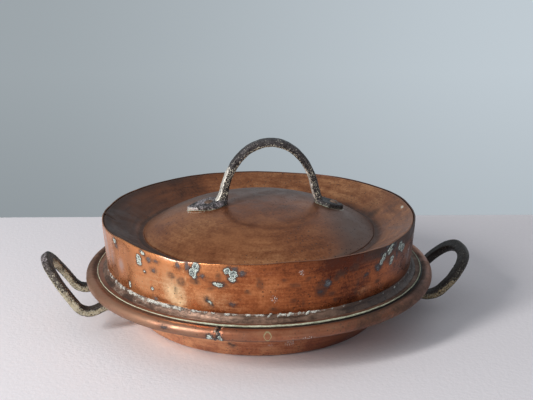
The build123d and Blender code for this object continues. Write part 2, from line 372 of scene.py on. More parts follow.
def face_outwards(piece):
    """Turn every face of a closed mesh outwards, and shade it smooth."""
    mesh = bmesh.new()
    mesh.from_mesh(piece.data)
    bmesh.ops.remove_doubles(mesh, verts=mesh.verts, dist=0.005 * mm)
    bmesh.ops.dissolve_degenerate(mesh, edges=mesh.edges, dist=0.002 * mm)
    bmesh.ops.recalc_face_normals(mesh, faces=mesh.faces)
    if mesh.calc_volume(signed=True) < 0:
        bmesh.ops.reverse_faces(mesh, faces=mesh.faces)
    mesh.to_mesh(piece.data)
    mesh.free()
    piece.data.shade_smooth()
    return piece


def places(piece):
    """Corners of a mesh in millimetres, as rows."""
    flat = np.empty(len(piece.data.vertices) * 3)
    piece.data.vertices.foreach_get("co", flat)
    return flat.reshape(-1, 3) / mm


def move_to(piece, points):
    """Move the corners of a mesh to points in millimetres."""
    piece.data.vertices.foreach_set("co", (points * mm).ravel())
    piece.data.update()


def around(points):
    """Radius, azimuth and height of points."""
    azimuth = np.degrees(np.arctan2(points[:, 0], -points[:, 1]))
    return np.hypot(points[:, 0], points[:, 1]), azimuth, points[:, 2]


def push_out(points, distance):
    """Points moved away from the axis by a distance."""
    radius = np.maximum(np.hypot(points[:, 0], points[:, 1]), 1e-6)
    points[:, :2] *= ((radius + distance) / radius)[:, None]


def mark(piece, name, values):
    """Store a number for each corner, for the finish to read."""
    layer = piece.data.attributes.new(name, "FLOAT", "POINT")
    layer.data.foreach_set("value", np.asarray(values, dtype=np.float32))


def across(azimuth, centre, radius):
    """Distance round the axis from a centre azimuth, the short way."""
    return np.radians(degrees_from(centre, azimuth)) * radius


def from_spots(spots, azimuth, height, radius):
    """Distance to the edge of the nearest spot; below zero is inside one."""
    nearest = np.full(len(azimuth), 30.0)
    for centre, level, length, width, tilt in spots:
        right = across(azimuth, centre, radius)
        up = height - level
        turn = math.radians(tilt)
        long_way = (right * math.cos(turn) + up * math.sin(turn)) / (length / 2)
        short_way = (up * math.cos(turn) - right * math.sin(turn)) / (width / 2)
        edge = (np.hypot(long_way, short_way) - 1) * min(length, width) / 2
        nearest = np.minimum(nearest, edge)
    return nearest


# Finishes
def finish(name):
    """New material, its bench, and the place on the object in metres."""
    material = bpy.data.materials.new(name)
    material.use_nodes = True
    material.node_tree.nodes.clear()
    bench = Bench(material.node_tree)
    place = bench.node("ShaderNodeTexCoord", {}, {}, "Object")
    return material, bench, place


def surface(bench, colour, metallic, roughness, normal):
    """End a material with its shader."""
    shader = bench.node("ShaderNodeBsdfPrincipled", {}, {
        "Base Color": colour, "Metallic": metallic, "Roughness": roughness, "Normal": normal})
    out = bench.tree.nodes.new("ShaderNodeOutputMaterial")
    bench.tree.links.new(shader.socket, out.inputs["Surface"])


# Colours of what lies on the metals, and of painted shade and glints
# The soot and the brown stain colour also paint shade, so does the solder stain colour, and the rubbed white
# also paints a reflection of the window
soot_and_shade = (0.010, 0.008, 0.008)
stain_and_shade_brown = (0.044, 0.023, 0.016)
pit_brown = (0.028, 0.018, 0.016)
dull_salts = (0.46, 0.46, 0.39)
scab_slate = (0.035, 0.034, 0.040)
scab_halo = (0.06, 0.030, 0.028)
scab_blue = (0.20, 0.24, 0.26)
crust_halo = (0.05, 0.03, 0.03)
crust_ring = (0.025, 0.022, 0.022)
crust_heart = (0.030, 0.042, 0.046)
crust_green = ((0.36, (0.07, 0.09, 0.09)), (0.46, (0.34, 0.42, 0.38)), (0.56, (0.80, 0.87, 0.79)))
speck_white = (0.74, 0.70, 0.66)
dried_drop = (0.46, 0.44, 0.25)
bronze_black = (0.015, 0.011, 0.010)
bronze_fleck = (0.80, 0.76, 0.60)
rubbed_white_and_glint = (0.78, 0.75, 0.68)
lilac_powder = (0.38, 0.34, 0.37)
bronze_green = (0.43, 0.50, 0.40)
solder_stain_and_shade = (0.050, 0.040, 0.040)
solder_salts = ((0.36, (0.16, 0.14, 0.13)), (0.48, (0.44, 0.44, 0.40)), (0.58, (0.74, 0.76, 0.70)))

# Spots are stored as this many millimetres less the distance to their edge
spot_reach = 4.0


def copper_crusts(bench, shifted, patch, colour, metal, roughness, height):
    """Lay scabs, crusts, specks and a dried drop over a copper, and return its changed values."""
    ragged = ((bench.noise(shifted, 380, 2, 0.6) - 0.5) * 4.0
              + (bench.noise(shifted, 1200, 2, 0.6) - 0.5) * 2.6)
    flecks = bench.noise(shifted, 1600, 2, 0.7)
    edge = spot_reach - bench.attribute("scab") + ragged
    scab = 1 - edge.step(-0.5, 0.9)
    blue = (1 - edge.step(-1.6, -0.3)) * flecks.step(0.46, 0.60)
    colour = bench.mix((1 - edge.step(0.2, 3.0)) * 0.4, colour, scab_halo)
    colour = bench.mix(scab * 0.82, colour, scab_slate)
    colour = bench.mix(blue * 0.85, colour, scab_blue)
    edge = spot_reach - bench.attribute("crust") + ragged * 0.75
    halo = 1 - edge.step(0.3, 2.6)
    ring = 1 - edge.step(0.3, 1.1)
    crust = 1 - edge.step(-0.2, 0.15)
    heart = (1 - edge.step(-0.95, -0.6)) * (1 - flecks.step(0.54, 0.60))
    colour = bench.mix(halo * 0.5, colour, crust_halo)
    colour = bench.mix(ring * 0.85, colour, crust_ring)
    colour = bench.mix(crust, colour, bench.ramp(flecks, *crust_green))
    colour = bench.mix(heart * 0.92, colour, crust_heart)
    speck = 1 - bench.cells(shifted, 950).step(0.27, 0.44)
    speck = speck * (bench.attribute("speck") + (patch - 0.5) * 0.5).step(0.25, 0.6)
    colour = bench.mix(speck * 0.9, colour, speck_white)
    drop = bench.attribute("drop") + ragged * 0.06
    dried = drop.step(0.72, 0.84) * (1 - drop.step(0.92, 1.06))
    colour = bench.mix(dried * 0.75, colour, dried_drop)
    crust = (crust + speck).clamp()
    metal = metal * (1 - crust) * (1 - ring * 0.8) * (1 - scab * 0.85)
    return colour, metal, roughness + (crust + scab) * 0.35, height + crust * 0.45 + scab * 0.15


def old_copper(name, dark, middle, bright, haze, shine=0.75, rough=(0.30, 0.5), pits=0.5, seed=0.0,
               crusted=False, clean=((0.64, 0.27, 0.10), (1.0, 0.72, 0.43))):
    """Copper with cloudy tones, wiping streaks and pits, and what is marked on its surface.

    The marks are tone (lighter or darker, on some pieces painted light), a stain mark (dark brown stains
    and painted shade), haze (dull tarnish, painted reflections and highlights), bare (clean copper and
    painted highlights), pitted, pale (whitish salts) and a black mark (painted shade in creases and gaps),
    and on crusted copper also crust (pale green salts), scab (slate grey), speck (white) and drop (the
    outline of a dried drop).
    """
    material, bench, place = finish(name)
    shifted = place + (seed, seed, seed)
    cloud = bench.noise(shifted, 16, 3, 0.55, 0.6)
    patch = bench.noise(shifted, 75, 4, 0.6, 0.4)
    grain = bench.noise(shifted, 560, 3, 0.65)
    streak = bench.noise(shifted * (30.0, 30.0, 520.0), 1, 3, 0.65)
    tone = cloud * 0.8 + patch * 0.55 + grain * 0.5 + streak * 0.45 - 0.65
    tone = tone + bench.attribute("tone") * 0.32
    colour = bench.ramp(tone, (0.18, dark), (0.5, middle), (0.82, bright))
    # Dull tarnish, and on the lid wall painted reflections and a painted highlight under the rim
    haze_and_sheen_share = (bench.attribute("haze") + (patch - 0.5) * 0.5 + (streak - 0.5) * 0.3).step(0.1, 0.95)
    colour = bench.mix(haze_and_sheen_share * 0.9, colour, haze)
    # Clean copper, and painted highlights where light would glint on the wall, the brim and the pan's lower
    # wall
    bare = bench.attribute("bare") + (patch - 0.5) * 0.35 + (streak - 0.5) * 0.3 + (grain - 0.5) * 0.2
    bare = bare.step(0.1, 1.0)
    clean_tone = (patch * 0.7 + grain * 0.45 + streak * 0.35 - 0.25).step(0.3, 0.68)
    colour = bench.mix(bare, colour, bench.mix(clean_tone, *clean))
    # Brown stains, and painted shade in creases, under rims and on the sides away from the light
    stain = (bench.attribute("stain") + (patch - 0.5) * 0.9 + (grain - 0.5) * 0.8).step(0.2, 1.0)
    colour = bench.mix(stain * 0.9, colour, stain_and_shade_brown)
    pit = 1 - bench.cells(shifted, 330).step(0.10, 0.26)
    pit = pit * (bench.noise(shifted, 42, 2).step(0.46, 0.60) + bench.attribute("pitted")).clamp()
    dot = 1 - bench.cells(shifted + (3.1, 0.7, 1.9), 140).step(0.04, 0.10)
    dot = dot * bench.noise(shifted, 20, 2).step(0.46, 0.58)
    pit = (pit + dot).clamp() * pits
    colour = bench.mix(pit, colour, pit_brown)
    metal = shine + (1 - shine) * bare - stain * 0.4 - pit * 0.4
    roughness = rough[0] + (rough[1] - rough[0]) * patch.step(0.3, 0.7) + pit * 0.2
    roughness = roughness + stain * 0.22 + haze_and_sheen_share * 0.1 + bare * bare * 0.14
    height = patch * 0.10 + grain * 0.06 + streak * 0.03 - pit * 0.22
    # Painted shade, near black, in creases, the fold and the gaps of the pan
    black = (bench.attribute("black") + (grain - 0.5) * 0.5).step(0.3, 0.6)
    colour = bench.mix(black * 0.96, colour, soot_and_shade)
    white = (bench.attribute("pale") + (grain - 0.5) * 0.9).step(0.4, 0.75)
    colour = bench.mix(white * 0.85, colour, dull_salts)
    metal = metal * (1 - black) * (1 - white * 0.9)
    if crusted:
        colour, metal, roughness, height = copper_crusts(
            bench, shifted, patch, colour, metal, roughness, height)
    surface(bench, colour, metal.clamp(), roughness.clamp(), bench.bumps(height, 1.0))
    return material


def dark_bronze(name, flecked, skin, brass, seed=0.0):
    """Cast bronze under a dark skin, flecked with pale metal, worn bright along its edges, and painted
    bright where it mirrors the window.
    """
    material, bench, place = finish(name)
    shifted = place + (seed, seed, seed)
    patch = bench.noise(shifted, 120, 4, 0.62, 0.5)
    grain = bench.noise(shifted, 700, 3, 0.7)
    flecks = bench.noise(shifted + (1.3, 2.1, 0.4), 1100, 2, 0.6)
    colour = bench.mix((patch * 0.7 + grain * 0.4).step(0.35, 0.75), bronze_black, skin)
    worn = bench.attribute("worn")
    clean = (worn + (patch - 0.5) * 0.5 + (grain - 0.5) * 0.7).step(0.45, 0.95)
    pale_brass = tuple(1.9 * part for part in brass)
    metal_tone = bench.mix((patch * 0.6 + grain * 0.5).step(0.4, 0.7), brass, pale_brass)
    colour = bench.mix(clean * 0.85, colour, metal_tone)
    fleck = (flecks + worn * 0.3 - 0.07 + (patch - 0.5) * 0.3).step(0.60, 0.66)
    colour = bench.mix(fleck * flecked, colour, bronze_fleck)
    # Rubbed edges, and on the lid handle a painted reflection of the window
    rub_and_glint = (bench.attribute("edge") + (grain - 0.5) * 0.9).step(0.4, 0.7)
    colour = bench.mix(rub_and_glint * 0.9, colour, rubbed_white_and_glint)
    powder = (bench.attribute("powder") + (grain - 0.5) * 1.2 + (patch - 0.5) * 0.7).step(0.45, 0.75)
    colour = bench.mix(powder * 0.85, colour, lilac_powder)
    green = (bench.attribute("green") + (grain - 0.5) * 1.1 + (patch - 0.5) * 0.6).step(0.45, 0.7)
    colour = bench.mix(green, colour, bronze_green)
    pit = 1 - bench.cells(shifted, 480).step(0.16, 0.36)
    pit = pit * bench.noise(shifted, 150, 2).step(0.40, 0.54)
    # Pits and dirt, and on the side handles painted shade under them
    pit = (pit + (bench.attribute("dirt") + (grain - 0.5) * 0.8).step(0.4, 0.8)).clamp()
    colour = bench.mix(pit * 0.95, colour, soot_and_shade)
    metal = (1 - green * 0.9) * (1 - powder) * (1 - pit) * (0.15 + 0.5 * worn.clamp() + 0.3 * rub_and_glint)
    roughness = 0.54 + green * 0.35 + pit * 0.3 - rub_and_glint * 0.1
    height = patch * 0.35 + grain * 0.2 - pit * 0.5 + fleck * 0.1
    surface(bench, colour, metal.clamp(), roughness.clamp(), bench.bumps(height, 1.0))
    return material


def solder_finish(name):
    """Old solder, dull and brown, in ridges that run round the foot, with pale salts and painted shade where
    marked.
    """
    material, bench, place = finish(name)
    from_axis = (place * (1.0, 1.0, 0.0)).length()
    ridge_place = bench.node("ShaderNodeCombineXYZ", {}, {
        0: place.axis("X") * 60, 1: place.axis("Y") * 60, 2: (from_axis + place.axis("Z")) * 950})
    ridge = bench.noise(ridge_place, 1, 3, 0.6)
    patch = bench.noise(place, 120, 4, 0.6)
    grain = bench.noise(place, 900, 3, 0.7)
    tone = (ridge * 1.2 + patch * 0.5 + grain * 0.35 - 0.5).step(0.3, 0.72)
    colour = bench.mix(tone, (0.070, 0.040, 0.028), (0.29, 0.180, 0.128))
    salts = bench.attribute("salts") + (ridge - 0.5) * 0.8 + (grain - 0.5) * 1.3 + (patch - 0.5) * 0.5
    salts = salts.step(0.5, 0.75)
    # Brown on the right of the bead is painted shade, away from the light
    stain = (bench.attribute("stain") + (patch - 0.5) * 0.8).step(0.1, 0.9)
    colour = bench.mix(stain * 0.8, colour, solder_stain_and_shade)
    powder = bench.ramp(bench.noise(place, 1500, 2, 0.7), *solder_salts)
    colour = bench.mix(salts * 0.92, colour, powder)
    relief = ridge * 0.3 + grain * 0.2 + salts * 0.3
    surface(bench, colour, (1 - salts) * 0.6, 0.45 + salts * 0.4, bench.bumps(relief, 1.0))
    return material


def crust_finish(name, pale, dark, seed=0.0):
    """Powdery salts and solder, pale and cracked."""
    material, bench, place = finish(name)
    shifted = place + (seed, seed, seed)
    patch = bench.noise(shifted, 160, 4, 0.6)
    grain = bench.noise(shifted, 1100, 3, 0.7)
    tone = (patch * 0.6 + grain * 0.55).step(0.38, 0.72)
    colour = bench.mix(tone, dark, pale)
    surface(bench, colour, 0.05, 0.75 + 0.2 * grain, bench.bumps(patch * 0.3 + grain * 0.3, 0.6))
    return material


def dull_metal(name, base, light, roughness):
    """Tin and iron that the light seldom reaches."""
    material, bench, place = finish(name)
    patch = bench.noise(place, 120, 4, 0.6)
    wiped = bench.noise(place * (40.0, 300.0, 300.0), 1, 2)
    colour = bench.mix((patch * 0.7 + wiped * 0.4).step(0.35, 0.75), base, light)
    surface(bench, colour, 0.85, roughness + 0.25 * patch, bench.bumps(patch + wiped * 0.5, 0.15))
    return material


wall_copper = old_copper("wall_copper", (0.105, 0.028, 0.014), (0.37, 0.112, 0.040), (0.70, 0.28, 0.11),
                         haze=(0.62, 0.45, 0.40), shine=0.9, rough=(0.22, 0.36), pits=0.8, crusted=True)
top_copper = old_copper("top_copper", (0.085, 0.032, 0.018), (0.25, 0.084, 0.034), (0.45, 0.18, 0.075),
                        haze=(0.138, 0.087, 0.070), rough=(0.28, 0.42), pits=0.9, seed=1.3,
                        clean=((0.50, 0.20, 0.080), (0.84, 0.44, 0.215)))
foot_copper = old_copper("foot_copper", (0.09, 0.042, 0.032), (0.27, 0.125, 0.080), (0.46, 0.24, 0.15),
                         haze=(0.25, 0.150, 0.105), shine=0.65, rough=(0.34, 0.5), pits=0.6, seed=2.1)
pan_copper = old_copper("pan_copper", (0.14, 0.038, 0.020), (0.38, 0.118, 0.050), (0.56, 0.25, 0.12),
                        haze=(0.29, 0.180, 0.125), rough=(0.30, 0.46), pits=0.7, seed=3.7, crusted=True,
                        clean=((0.58, 0.22, 0.095), (0.95, 0.57, 0.32)))
rivet_copper = old_copper("rivet_copper", (0.06, 0.038, 0.028), (0.16, 0.100, 0.070), (0.34, 0.23, 0.17),
                          haze=(0.30, 0.25, 0.21), shine=0.5, rough=(0.4, 0.6), pits=0.8, seed=5.2)
arch_bronze = dark_bronze("arch_bronze", flecked=1.0, skin=(0.075, 0.068, 0.072), brass=(0.10, 0.085, 0.060))
left_bronze = dark_bronze("left_bronze", flecked=0.5, skin=(0.058, 0.038, 0.028),
                          brass=(0.27, 0.225, 0.135), seed=2.0)
right_bronze = dark_bronze("right_bronze", flecked=0.25, skin=(0.032, 0.023, 0.018),
                           brass=(0.24, 0.165, 0.068), seed=4.0)
edge_salts = crust_finish("edge_salts", pale=(0.66, 0.70, 0.54), dark=(0.30, 0.32, 0.22))
tooth_salts = crust_finish("tooth_salts", pale=(0.62, 0.65, 0.60), dark=(0.20, 0.19, 0.17), seed=4.0)
old_solder = solder_finish("old_solder")
tin = dull_metal("wiped_tin", (0.20, 0.19, 0.17), (0.48, 0.46, 0.42), roughness=0.35)
iron = dull_metal("iron_wire", (0.03, 0.025, 0.022), (0.10, 0.08, 0.07), roughness=0.55)

turned_sheet = turned_tree()


# Lid wall
def lid_wall_radius(height):
    """Radius of the lid wall's outer face at a height."""
    return lid_wall_foot_radius + (height - lid_wall_foot) * math.tan(math.radians(lid_wall_lean))


def lid_wall_section():
    """Closed outline of the lid wall, rounded at the rim."""
    length = lid_wall_height / math.cos(math.radians(lid_wall_lean))
    round_edge = lid_sheet / 2
    face = follow((lid_wall_foot_radius, lid_wall_foot), 90 - lid_wall_lean,
                  [(length - round_edge,), (round_edge, 180)], 0, 0.9)
    foot = (lid_wall_foot_radius - lid_sheet, lid_wall_foot)
    return face + [foot, face[0]]


# Pale crusts on the lid wall: azimuth, height, length, width, tilt
wall_crusts = [
    (-60.2, 85.0, 4.4, 3.6, 0), (-42.5, 86.2, 4.2, 2.6, -20), (-44.6, 81.2, 5.0, 4.6, 0),
    (-44.6, 77.2, 5.4, 4.8, 0), (-42.5, 70.5, 1.8, 1.6, 0), (-51.8, 53.5, 2.8, 4.4, 0),
    (-39.6, 57.3, 2.2, 2.2, 0), (-20.9, 84.4, 5.4, 7.0, 20), (-22.0, 78.8, 5.6, 7.4, 25),
    (-13.4, 71.4, 7.6, 3.2, -14), (-16.6, 56.3, 4.4, 1.9, -55), (-10.3, 83.6, 5.2, 5.0, 0),
    (-8.4, 80.6, 7.4, 6.0, 0), (-8.8, 76.6, 5.6, 4.4, 0),
    (47.3, 78.6, 7.6, 4.2, 62), (46.2, 75.2, 5.0, 3.4, 60), (50.8, 81.5, 7.4, 2.6, 30),
    (51.0, 84.7, 8.4, 2.6, 25), (52.3, 74.6, 5.0, 3.6, 0), (52.0, 71.4, 4.2, 3.0, 0),
    (57.8, 81.4, 7.4, 5.6, 60), (60.0, 78.4, 7.0, 6.4, 0),
]
# Patches of white specks: azimuth, height, half length, half height, share
wall_specks = [(5.0, 60.5, 5.0, 6.0, 0.8), (13.8, 81.0, 5.0, 5.0, 0.7), (-3.0, 84.0, 8.0, 3.0, 0.4)]
# Slate grey scabs, given like the crusts
wall_scabs = [
    (-59.4, 81.6, 4.6, 3.4, 0), (-39.7, 82.3, 4.6, 4.0, 0), (-36.5, 82.3, 3.6, 2.2, 0),
    (-38.0, 74.1, 4.6, 3.0, 0), (-38.3, 49.7, 5.0, 2.5, 0), (-27.5, 83.0, 3.8, 5.0, 0),
    (-24.0, 84.0, 3.8, 6.4, 0), (-18.7, 77.3, 4.4, 2.8, -25), (-8.1, 85.4, 5.0, 3.0, 0),
    (-5.4, 81.9, 4.6, 4.4, 0), (-8.9, 55.6, 4.0, 2.2, -20), (23.1, 69.3, 5.6, 6.0, 0),
    (38.8, 68.5, 4.0, 2.9, 0), (44.6, 71.6, 5.0, 7.0, 60), (49.1, 86.2, 4.8, 2.5, 0),
    (53.5, 84.4, 6.7, 4.4, 0), (54.7, 67.4, 2.8, 2.4, 0), (46.0, 82.0, 3.0, 3.6, 60),
    (55.4, 76.5, 3.6, 7.0, 10), (-11.9, 72.0, 3.0, 1.8, 0), (-17.5, 59.0, 2.2, 2.6, 0),
    (20.5, 63.0, 3.0, 2.2, 0),
]
# Soft brown stains, given like the crusts
wall_stains = [
    (-21.5, 72.2, 7.3, 3.4, 0), (-26.6, 70.1, 6.8, 6.5, 0), (-30.4, 73.8, 5.3, 4.1, 0),
    (-13.3, 78.5, 3.1, 4.8, 0), (0.3, 72.4, 4.5, 6.4, 0), (11.9, 70.8, 6.0, 3.0, 0),
    (-0.1, 77.7, 1.6, 1.6, 0), (-6.6, 60.0, 1.2, 1.2, 0), (11.4, 58.1, 2.3, 1.6, 0),
    (14.7, 55.4, 0.9, 2.2, 0), (21.0, 66.0, 9.0, 12.0, 0), (24.7, 60.5, 3.4, 2.0, 0),
    (26.3, 54.3, 2.1, 2.0, 0), (26.1, 72.5, 3.6, 3.4, 0), (33.1, 78.4, 8.4, 5.2, 0),
    (28.1, 76.2, 7.5, 4.4, 0), (35.4, 63.6, 1.4, 4.6, 0), (34.6, 57.4, 2.6, 4.1, 0),
    (45.2, 59.5, 3.4, 1.7, 0), (47.3, 53.8, 3.5, 1.7, 0), (41.5, 84.8, 18.0, 4.4, 0),
    (-29.2, 62.1, 0.9, 2.2, 0), (16.0, 75.0, 3.0, 2.0, 30), (-16.0, 68.0, 3.4, 2.0, 20),
    (-4.0, 66.5, 2.4, 1.4, 0), (8.0, 76.0, 2.0, 1.6, 0), (5.0, 52.0, 3.0, 1.4, 0),
    (-64.0, 54.0, 16.0, 7.0, 20), (-78.0, 60.0, 12.0, 20.0, 0), (51.0, 79.0, 15.0, 12.0, 40),
    (58.0, 79.5, 9.0, 9.0, 0),
]
# Clean copper, and painted highlights: the gold glint low at the front left and the strip under the rim
# there. Azimuth, height, half length, half height, share
wall_bare_and_glint = [(-29.0, 55.5, 13.0, 12.0, 1.3), (-32.0, 66.0, 30.0, 22.0, 0.50),
             (-45.0, 60.0, 26.0, 24.0, 0.30), (-27.5, 86.3, 24.0, 2.2, 0.4),
             (37.0, 56.0, 20.0, 9.0, 0.25), (-14.0, 57.0, 30.0, 14.0, 0.45)]
# Dull pinkish tarnish, and painted reflections: pinkish-white patches down the far left and the highlight
# under the rim at the front left. Given like the clean copper
wall_haze_and_sheen = [(-72.0, 76.0, 9.0, 26.0, 1.0), (-66.0, 66.0, 7.0, 14.0, 0.6), (-57.0, 66.5, 8.5, 11.0, 0.75),
             (-28.0, 87.0, 24.0, 2.2, 1.0), (-2.0, 82.0, 34.0, 5.0, 0.2), (-45.0, 76.0, 26.0, 8.0, 0.3)]
# Rises and dips of the rim: azimuth, half width in degrees, height
rim_waves = [(-53, 15, 2.3), (-28, 9, -1.7), (-18, 7, -0.6), (12, 16, 1.9), (30, 9, 0.6),
             (50, 10, -1.2), (-100, 12, -0.8), (110, 20, 0.8), (170, 25, -0.6)]
rim_tilt = 0.93
# The lid's sheets share one swell, so that they stay together
lid_swell = (40, 1.1)
lid_seed = 3.0
# Dents of the lid wall: azimuth, height, half length, half height, depth
wall_dents = [(-29.5, 58.0, 16.5, 16.5, 1.1), (-41.0, 62.0, 18.0, 21.0, 0.9),
              (-19.0, 64.0, 15.0, 21.0, -0.5), (-66.0, 62.0, 19.5, 30.0, 1.0),
              (-7.0, 60.0, 24.0, 27.0, 0.6), (40.0, 66.0, 24.0, 21.0, 0.6),
              (26.0, 62.0, 18.0, 24.0, -0.5), (-54.0, 76.0, 18.0, 13.5, 0.7),
              (-34.0, 52.0, 7.5, 4.5, -0.5), (-24.9, 75.0, 2.1, 15.0, -0.35),
              (-31.5, 66.0, 6.0, 7.5, 0.4), (-27.0, 74.9, 6.0, 4.5, 0.4)]
# The rim is beaten in round this azimuth, over this height, and catches the light there
beaten_azimuth = -28
beaten_height = 6
# Notch in the rim at the left, and the fold that runs from it into the brim
notch_azimuth = -91.2
notch_depth = 2.0
fold_start, fold_end = (-133.5, -2.0), (-121.0, -8.0)
# Long scratch at the front left: azimuth and height of its middle
scratch_azimuth, scratch_height = -24.9, 75.0


def wave_rim(azimuth):
    """How far the rim stands above its even height."""
    rise = rim_tilt * np.cos(np.radians(azimuth))
    for centre, width, height in rim_waves:
        rise += height * bump(degrees_from(centre, azimuth), width)
    return rise


def patches(spots, azimuth, height, radius):
    """Sum of soft patches of one kind."""
    total = np.zeros(len(azimuth))
    for centre, level, length, tall, share in spots:
        total += share * bump(across(azimuth, centre, radius), length) * bump(height - level, tall)
    return total


def spot_mark(spots, azimuth, height, radius):
    """Mark of spots that have an edge, as the finish reads it."""
    return np.clip(spot_reach - from_spots(spots, azimuth, height, radius), 0, None)


def lid_wall_stain_and_shade(azimuth, height, outside, notch):
    """Brown spots; painted shade in the notch, along the foot, on the right and under the rim there, and on
    the rim's far edge.
    """
    spots = 0.62 * np.clip(1 - from_spots(wall_stains, azimuth, height, lid_rim_radius) / 4, 0, 1) ** 1.6
    seen = front_share(azimuth)
    # Painted shade along the foot of the wall, most on the right
    low_band = ease(48.3, 46.0, height) * (0.35 + 0.4 * ease(25, 45, azimuth))
    low_right = 0.9 * ease(49 + 5 * ease(28, 62, azimuth), 45.5, height) * ease(26, 40, azimuth)
    # Painted shade under the rim and down the side on the right, away from the light, and under the rim at
    # the front
    right_rim = 0.9 * ease(20, 48, azimuth) * ease(73, 83, height)
    right_side = 0.5 * ease(52, 72, azimuth)
    top_shade = 0.35 * ease(-8, 20, azimuth) * ease(72, 86, height)
    # The notch is darkened with painted shade as well
    stain = np.maximum.reduce([spots, notch] + [
        seen * one for one in (low_band, low_right, right_rim, right_side, top_shade)]) * outside
    # Painted shade on the far edge of the rim, and on its inner face, where it would glint
    rim_edge = ease(-1.4, -0.5, height - lid_rim_height) * ease(55, 100, np.abs(azimuth))
    rim_edge = np.maximum(rim_edge, (1 - outside) * ease(-7, -5, height - lid_rim_height))
    return np.clip(stain + 0.85 * rim_edge, 0, 1)


def make_lid_wall():
    """Wall with its dents, its wavy rim and notch, and what has grown on its copper."""
    piece = turned("lid_band", lid_wall_section(), segments=900, swell=lid_swell, hammer=(12, 0.36),
                   seed=lid_seed, finish=wall_copper)
    points = places(piece)
    radius, azimuth, height = around(points)
    outside = radius > lid_wall_radius(height) - lid_sheet / 2
    part = np.clip((height - lid_wall_foot) / lid_wall_height, 0, 1)
    dent = patches(wall_dents, azimuth, height, radius)
    beaten = 0.7 * bump(degrees_from(beaten_azimuth, azimuth), 15) + 0.3
    dent += beaten * np.clip((height - lid_rim_height + beaten_height) / beaten_height, 0, 1) ** 2
    push_out(points, -dent)
    # Heights change here, and the marks below go by the new ones
    points[:, 2] += wave_rim(azimuth) * part ** 2
    notch = bump(across(azimuth, notch_azimuth, radius), 1.8) * ease(-7, 0, height - lid_rim_height)
    points[:, 2] -= notch_depth * notch
    move_to(piece, points)
    seen = front_share(azimuth)
    mark(piece, "crust", spot_mark(wall_crusts, azimuth, height, lid_rim_radius) * outside)
    mark(piece, "scab", spot_mark(wall_scabs, azimuth, height, lid_rim_radius) * outside)
    mark(piece, "speck", patches(wall_specks, azimuth, height, radius) * outside)
    mark(piece, "haze", np.clip(patches(wall_haze_and_sheen, azimuth, height, radius), 0, 1))
    mark(piece, "stain", lid_wall_stain_and_shade(azimuth, height, outside, notch))
    mark(piece, "pitted", 0.35 * ease(0, 12, azimuth) * seen)
    # Painted light: lighter at the front left, where the window's light falls, darker to the right, partly
    # tarnish and partly painted shade, and painted shade under the rim at the front right
    tone = 1.0 * ease(12, -34, azimuth) - 0.55 * ease(-2, 30, azimuth)
    tone -= 0.55 * ease(70, 84, height) * ease(-12, 8, azimuth)
    mark(piece, "tone", tone * seen)
    from_scratch = across(azimuth, scratch_azimuth, radius) + 0.22 * (height - scratch_height)
    scratch = np.clip(1 - np.abs(from_scratch) / 0.6, 0, 1) * ease(67, 69, height) * ease(82, 80, height)
    mark(piece, "bare", patches(wall_bare_and_glint, azimuth, height, radius) + 0.7 * scratch)
    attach(piece, "lid")
    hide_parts("lid_wall")


# Lid top: the dome and the brim round it
def lid_top_moves():
    """Upper faces of the dome from its middle to its edge, and of the brim from there on."""
    crown = (dome_crown_radius, -dome_crown_turn)
    shoulder = (dome_shoulder_radius, dome_crown_turn - dome_edge_slope)
    valley = (valley_radius, dome_edge_slope + brim_slope)
    turn, slope = math.radians(dome_crown_turn), math.radians(dome_edge_slope)
    valley_start = (dome_crown_radius * math.sin(turn)
                    + dome_shoulder_radius * (math.sin(slope) - math.sin(turn)))
    rise = math.sin(math.radians(brim_slope))
    valley_end = valley_start + valley_radius * (math.sin(slope) + rise)
    inner_face = lid_wall_radius(lid_rim_height - brim_bend_depth) - lid_sheet
    slope_end = (inner_face - (brim_gap + brim_bend) / math.cos(math.radians(lid_wall_lean))
                 - brim_bend * rise)
    slope_run = (slope_end - valley_end) / math.cos(math.radians(brim_slope))
    turned_down = [(brim_bend, -90 - brim_slope - lid_wall_lean), (brim_lap,)]
    return [crown, shoulder], [valley, (slope_run,)] + turned_down


def along_arch(points):
    """Where points lie in plan: along the line of the lid handle, and to its back."""
    turn = math.radians(arch_turn)
    way = points[:, 0] * math.cos(turn) + points[:, 1] * math.sin(turn)
    return way, points[:, 1] * math.cos(turn) - points[:, 0] * math.sin(turn)


def dome_height(radius):
    """Height of the dome's upper face at a radius."""
    turn = math.radians(dome_crown_turn)
    shift = dome_crown_radius - dome_shoulder_radius
    crown = np.sqrt(dome_crown_radius ** 2 - np.minimum(radius, 60) ** 2)
    out = np.clip(radius - shift * math.sin(turn), 0, 0.9 * dome_shoulder_radius)
    shoulder = shift * math.cos(turn) + np.sqrt(dome_shoulder_radius ** 2 - out ** 2)
    on_crown = radius < dome_crown_radius * math.sin(turn)
    return dome_top - dome_crown_radius + np.where(on_crown, crown, shoulder)


def brim_fold(points):
    """Depth of the short fold that runs inwards from the notch in the rim."""
    start = np.array(fold_start)
    way = np.array(fold_end) - start
    share = np.clip(((points[:, :2] - start) @ way) / (way @ way), 0, 1)
    off_fold = np.linalg.norm(points[:, :2] - start - share[:, None] * way, axis=1)
    return bump(off_fold, 1.6 + 1.6 * (1 - share)) * (1 - share)


def bend_lid_top(piece):
    """Bend the brim, or the tin under it, with the waves of the rim and the fold."""
    points = places(piece)
    radius, azimuth, _ = around(points)
    points[:, 2] += wave_rim(azimuth) * np.clip((radius - brim_start) / brim_run, 0, 1) ** 2
    points[:, 2] -= notch_depth * brim_fold(points)
    move_to(piece, points)
    return points


# Radii on the lid's top: the edge of the dome, where a highlight is painted, the crease behind it, the
# valley, and where the brim starts to follow the rim and how far it takes
dome_glint_radius = 97.5
crease_radius = 101.0
valley_line = 103.0
brim_start, brim_run = 104, 26
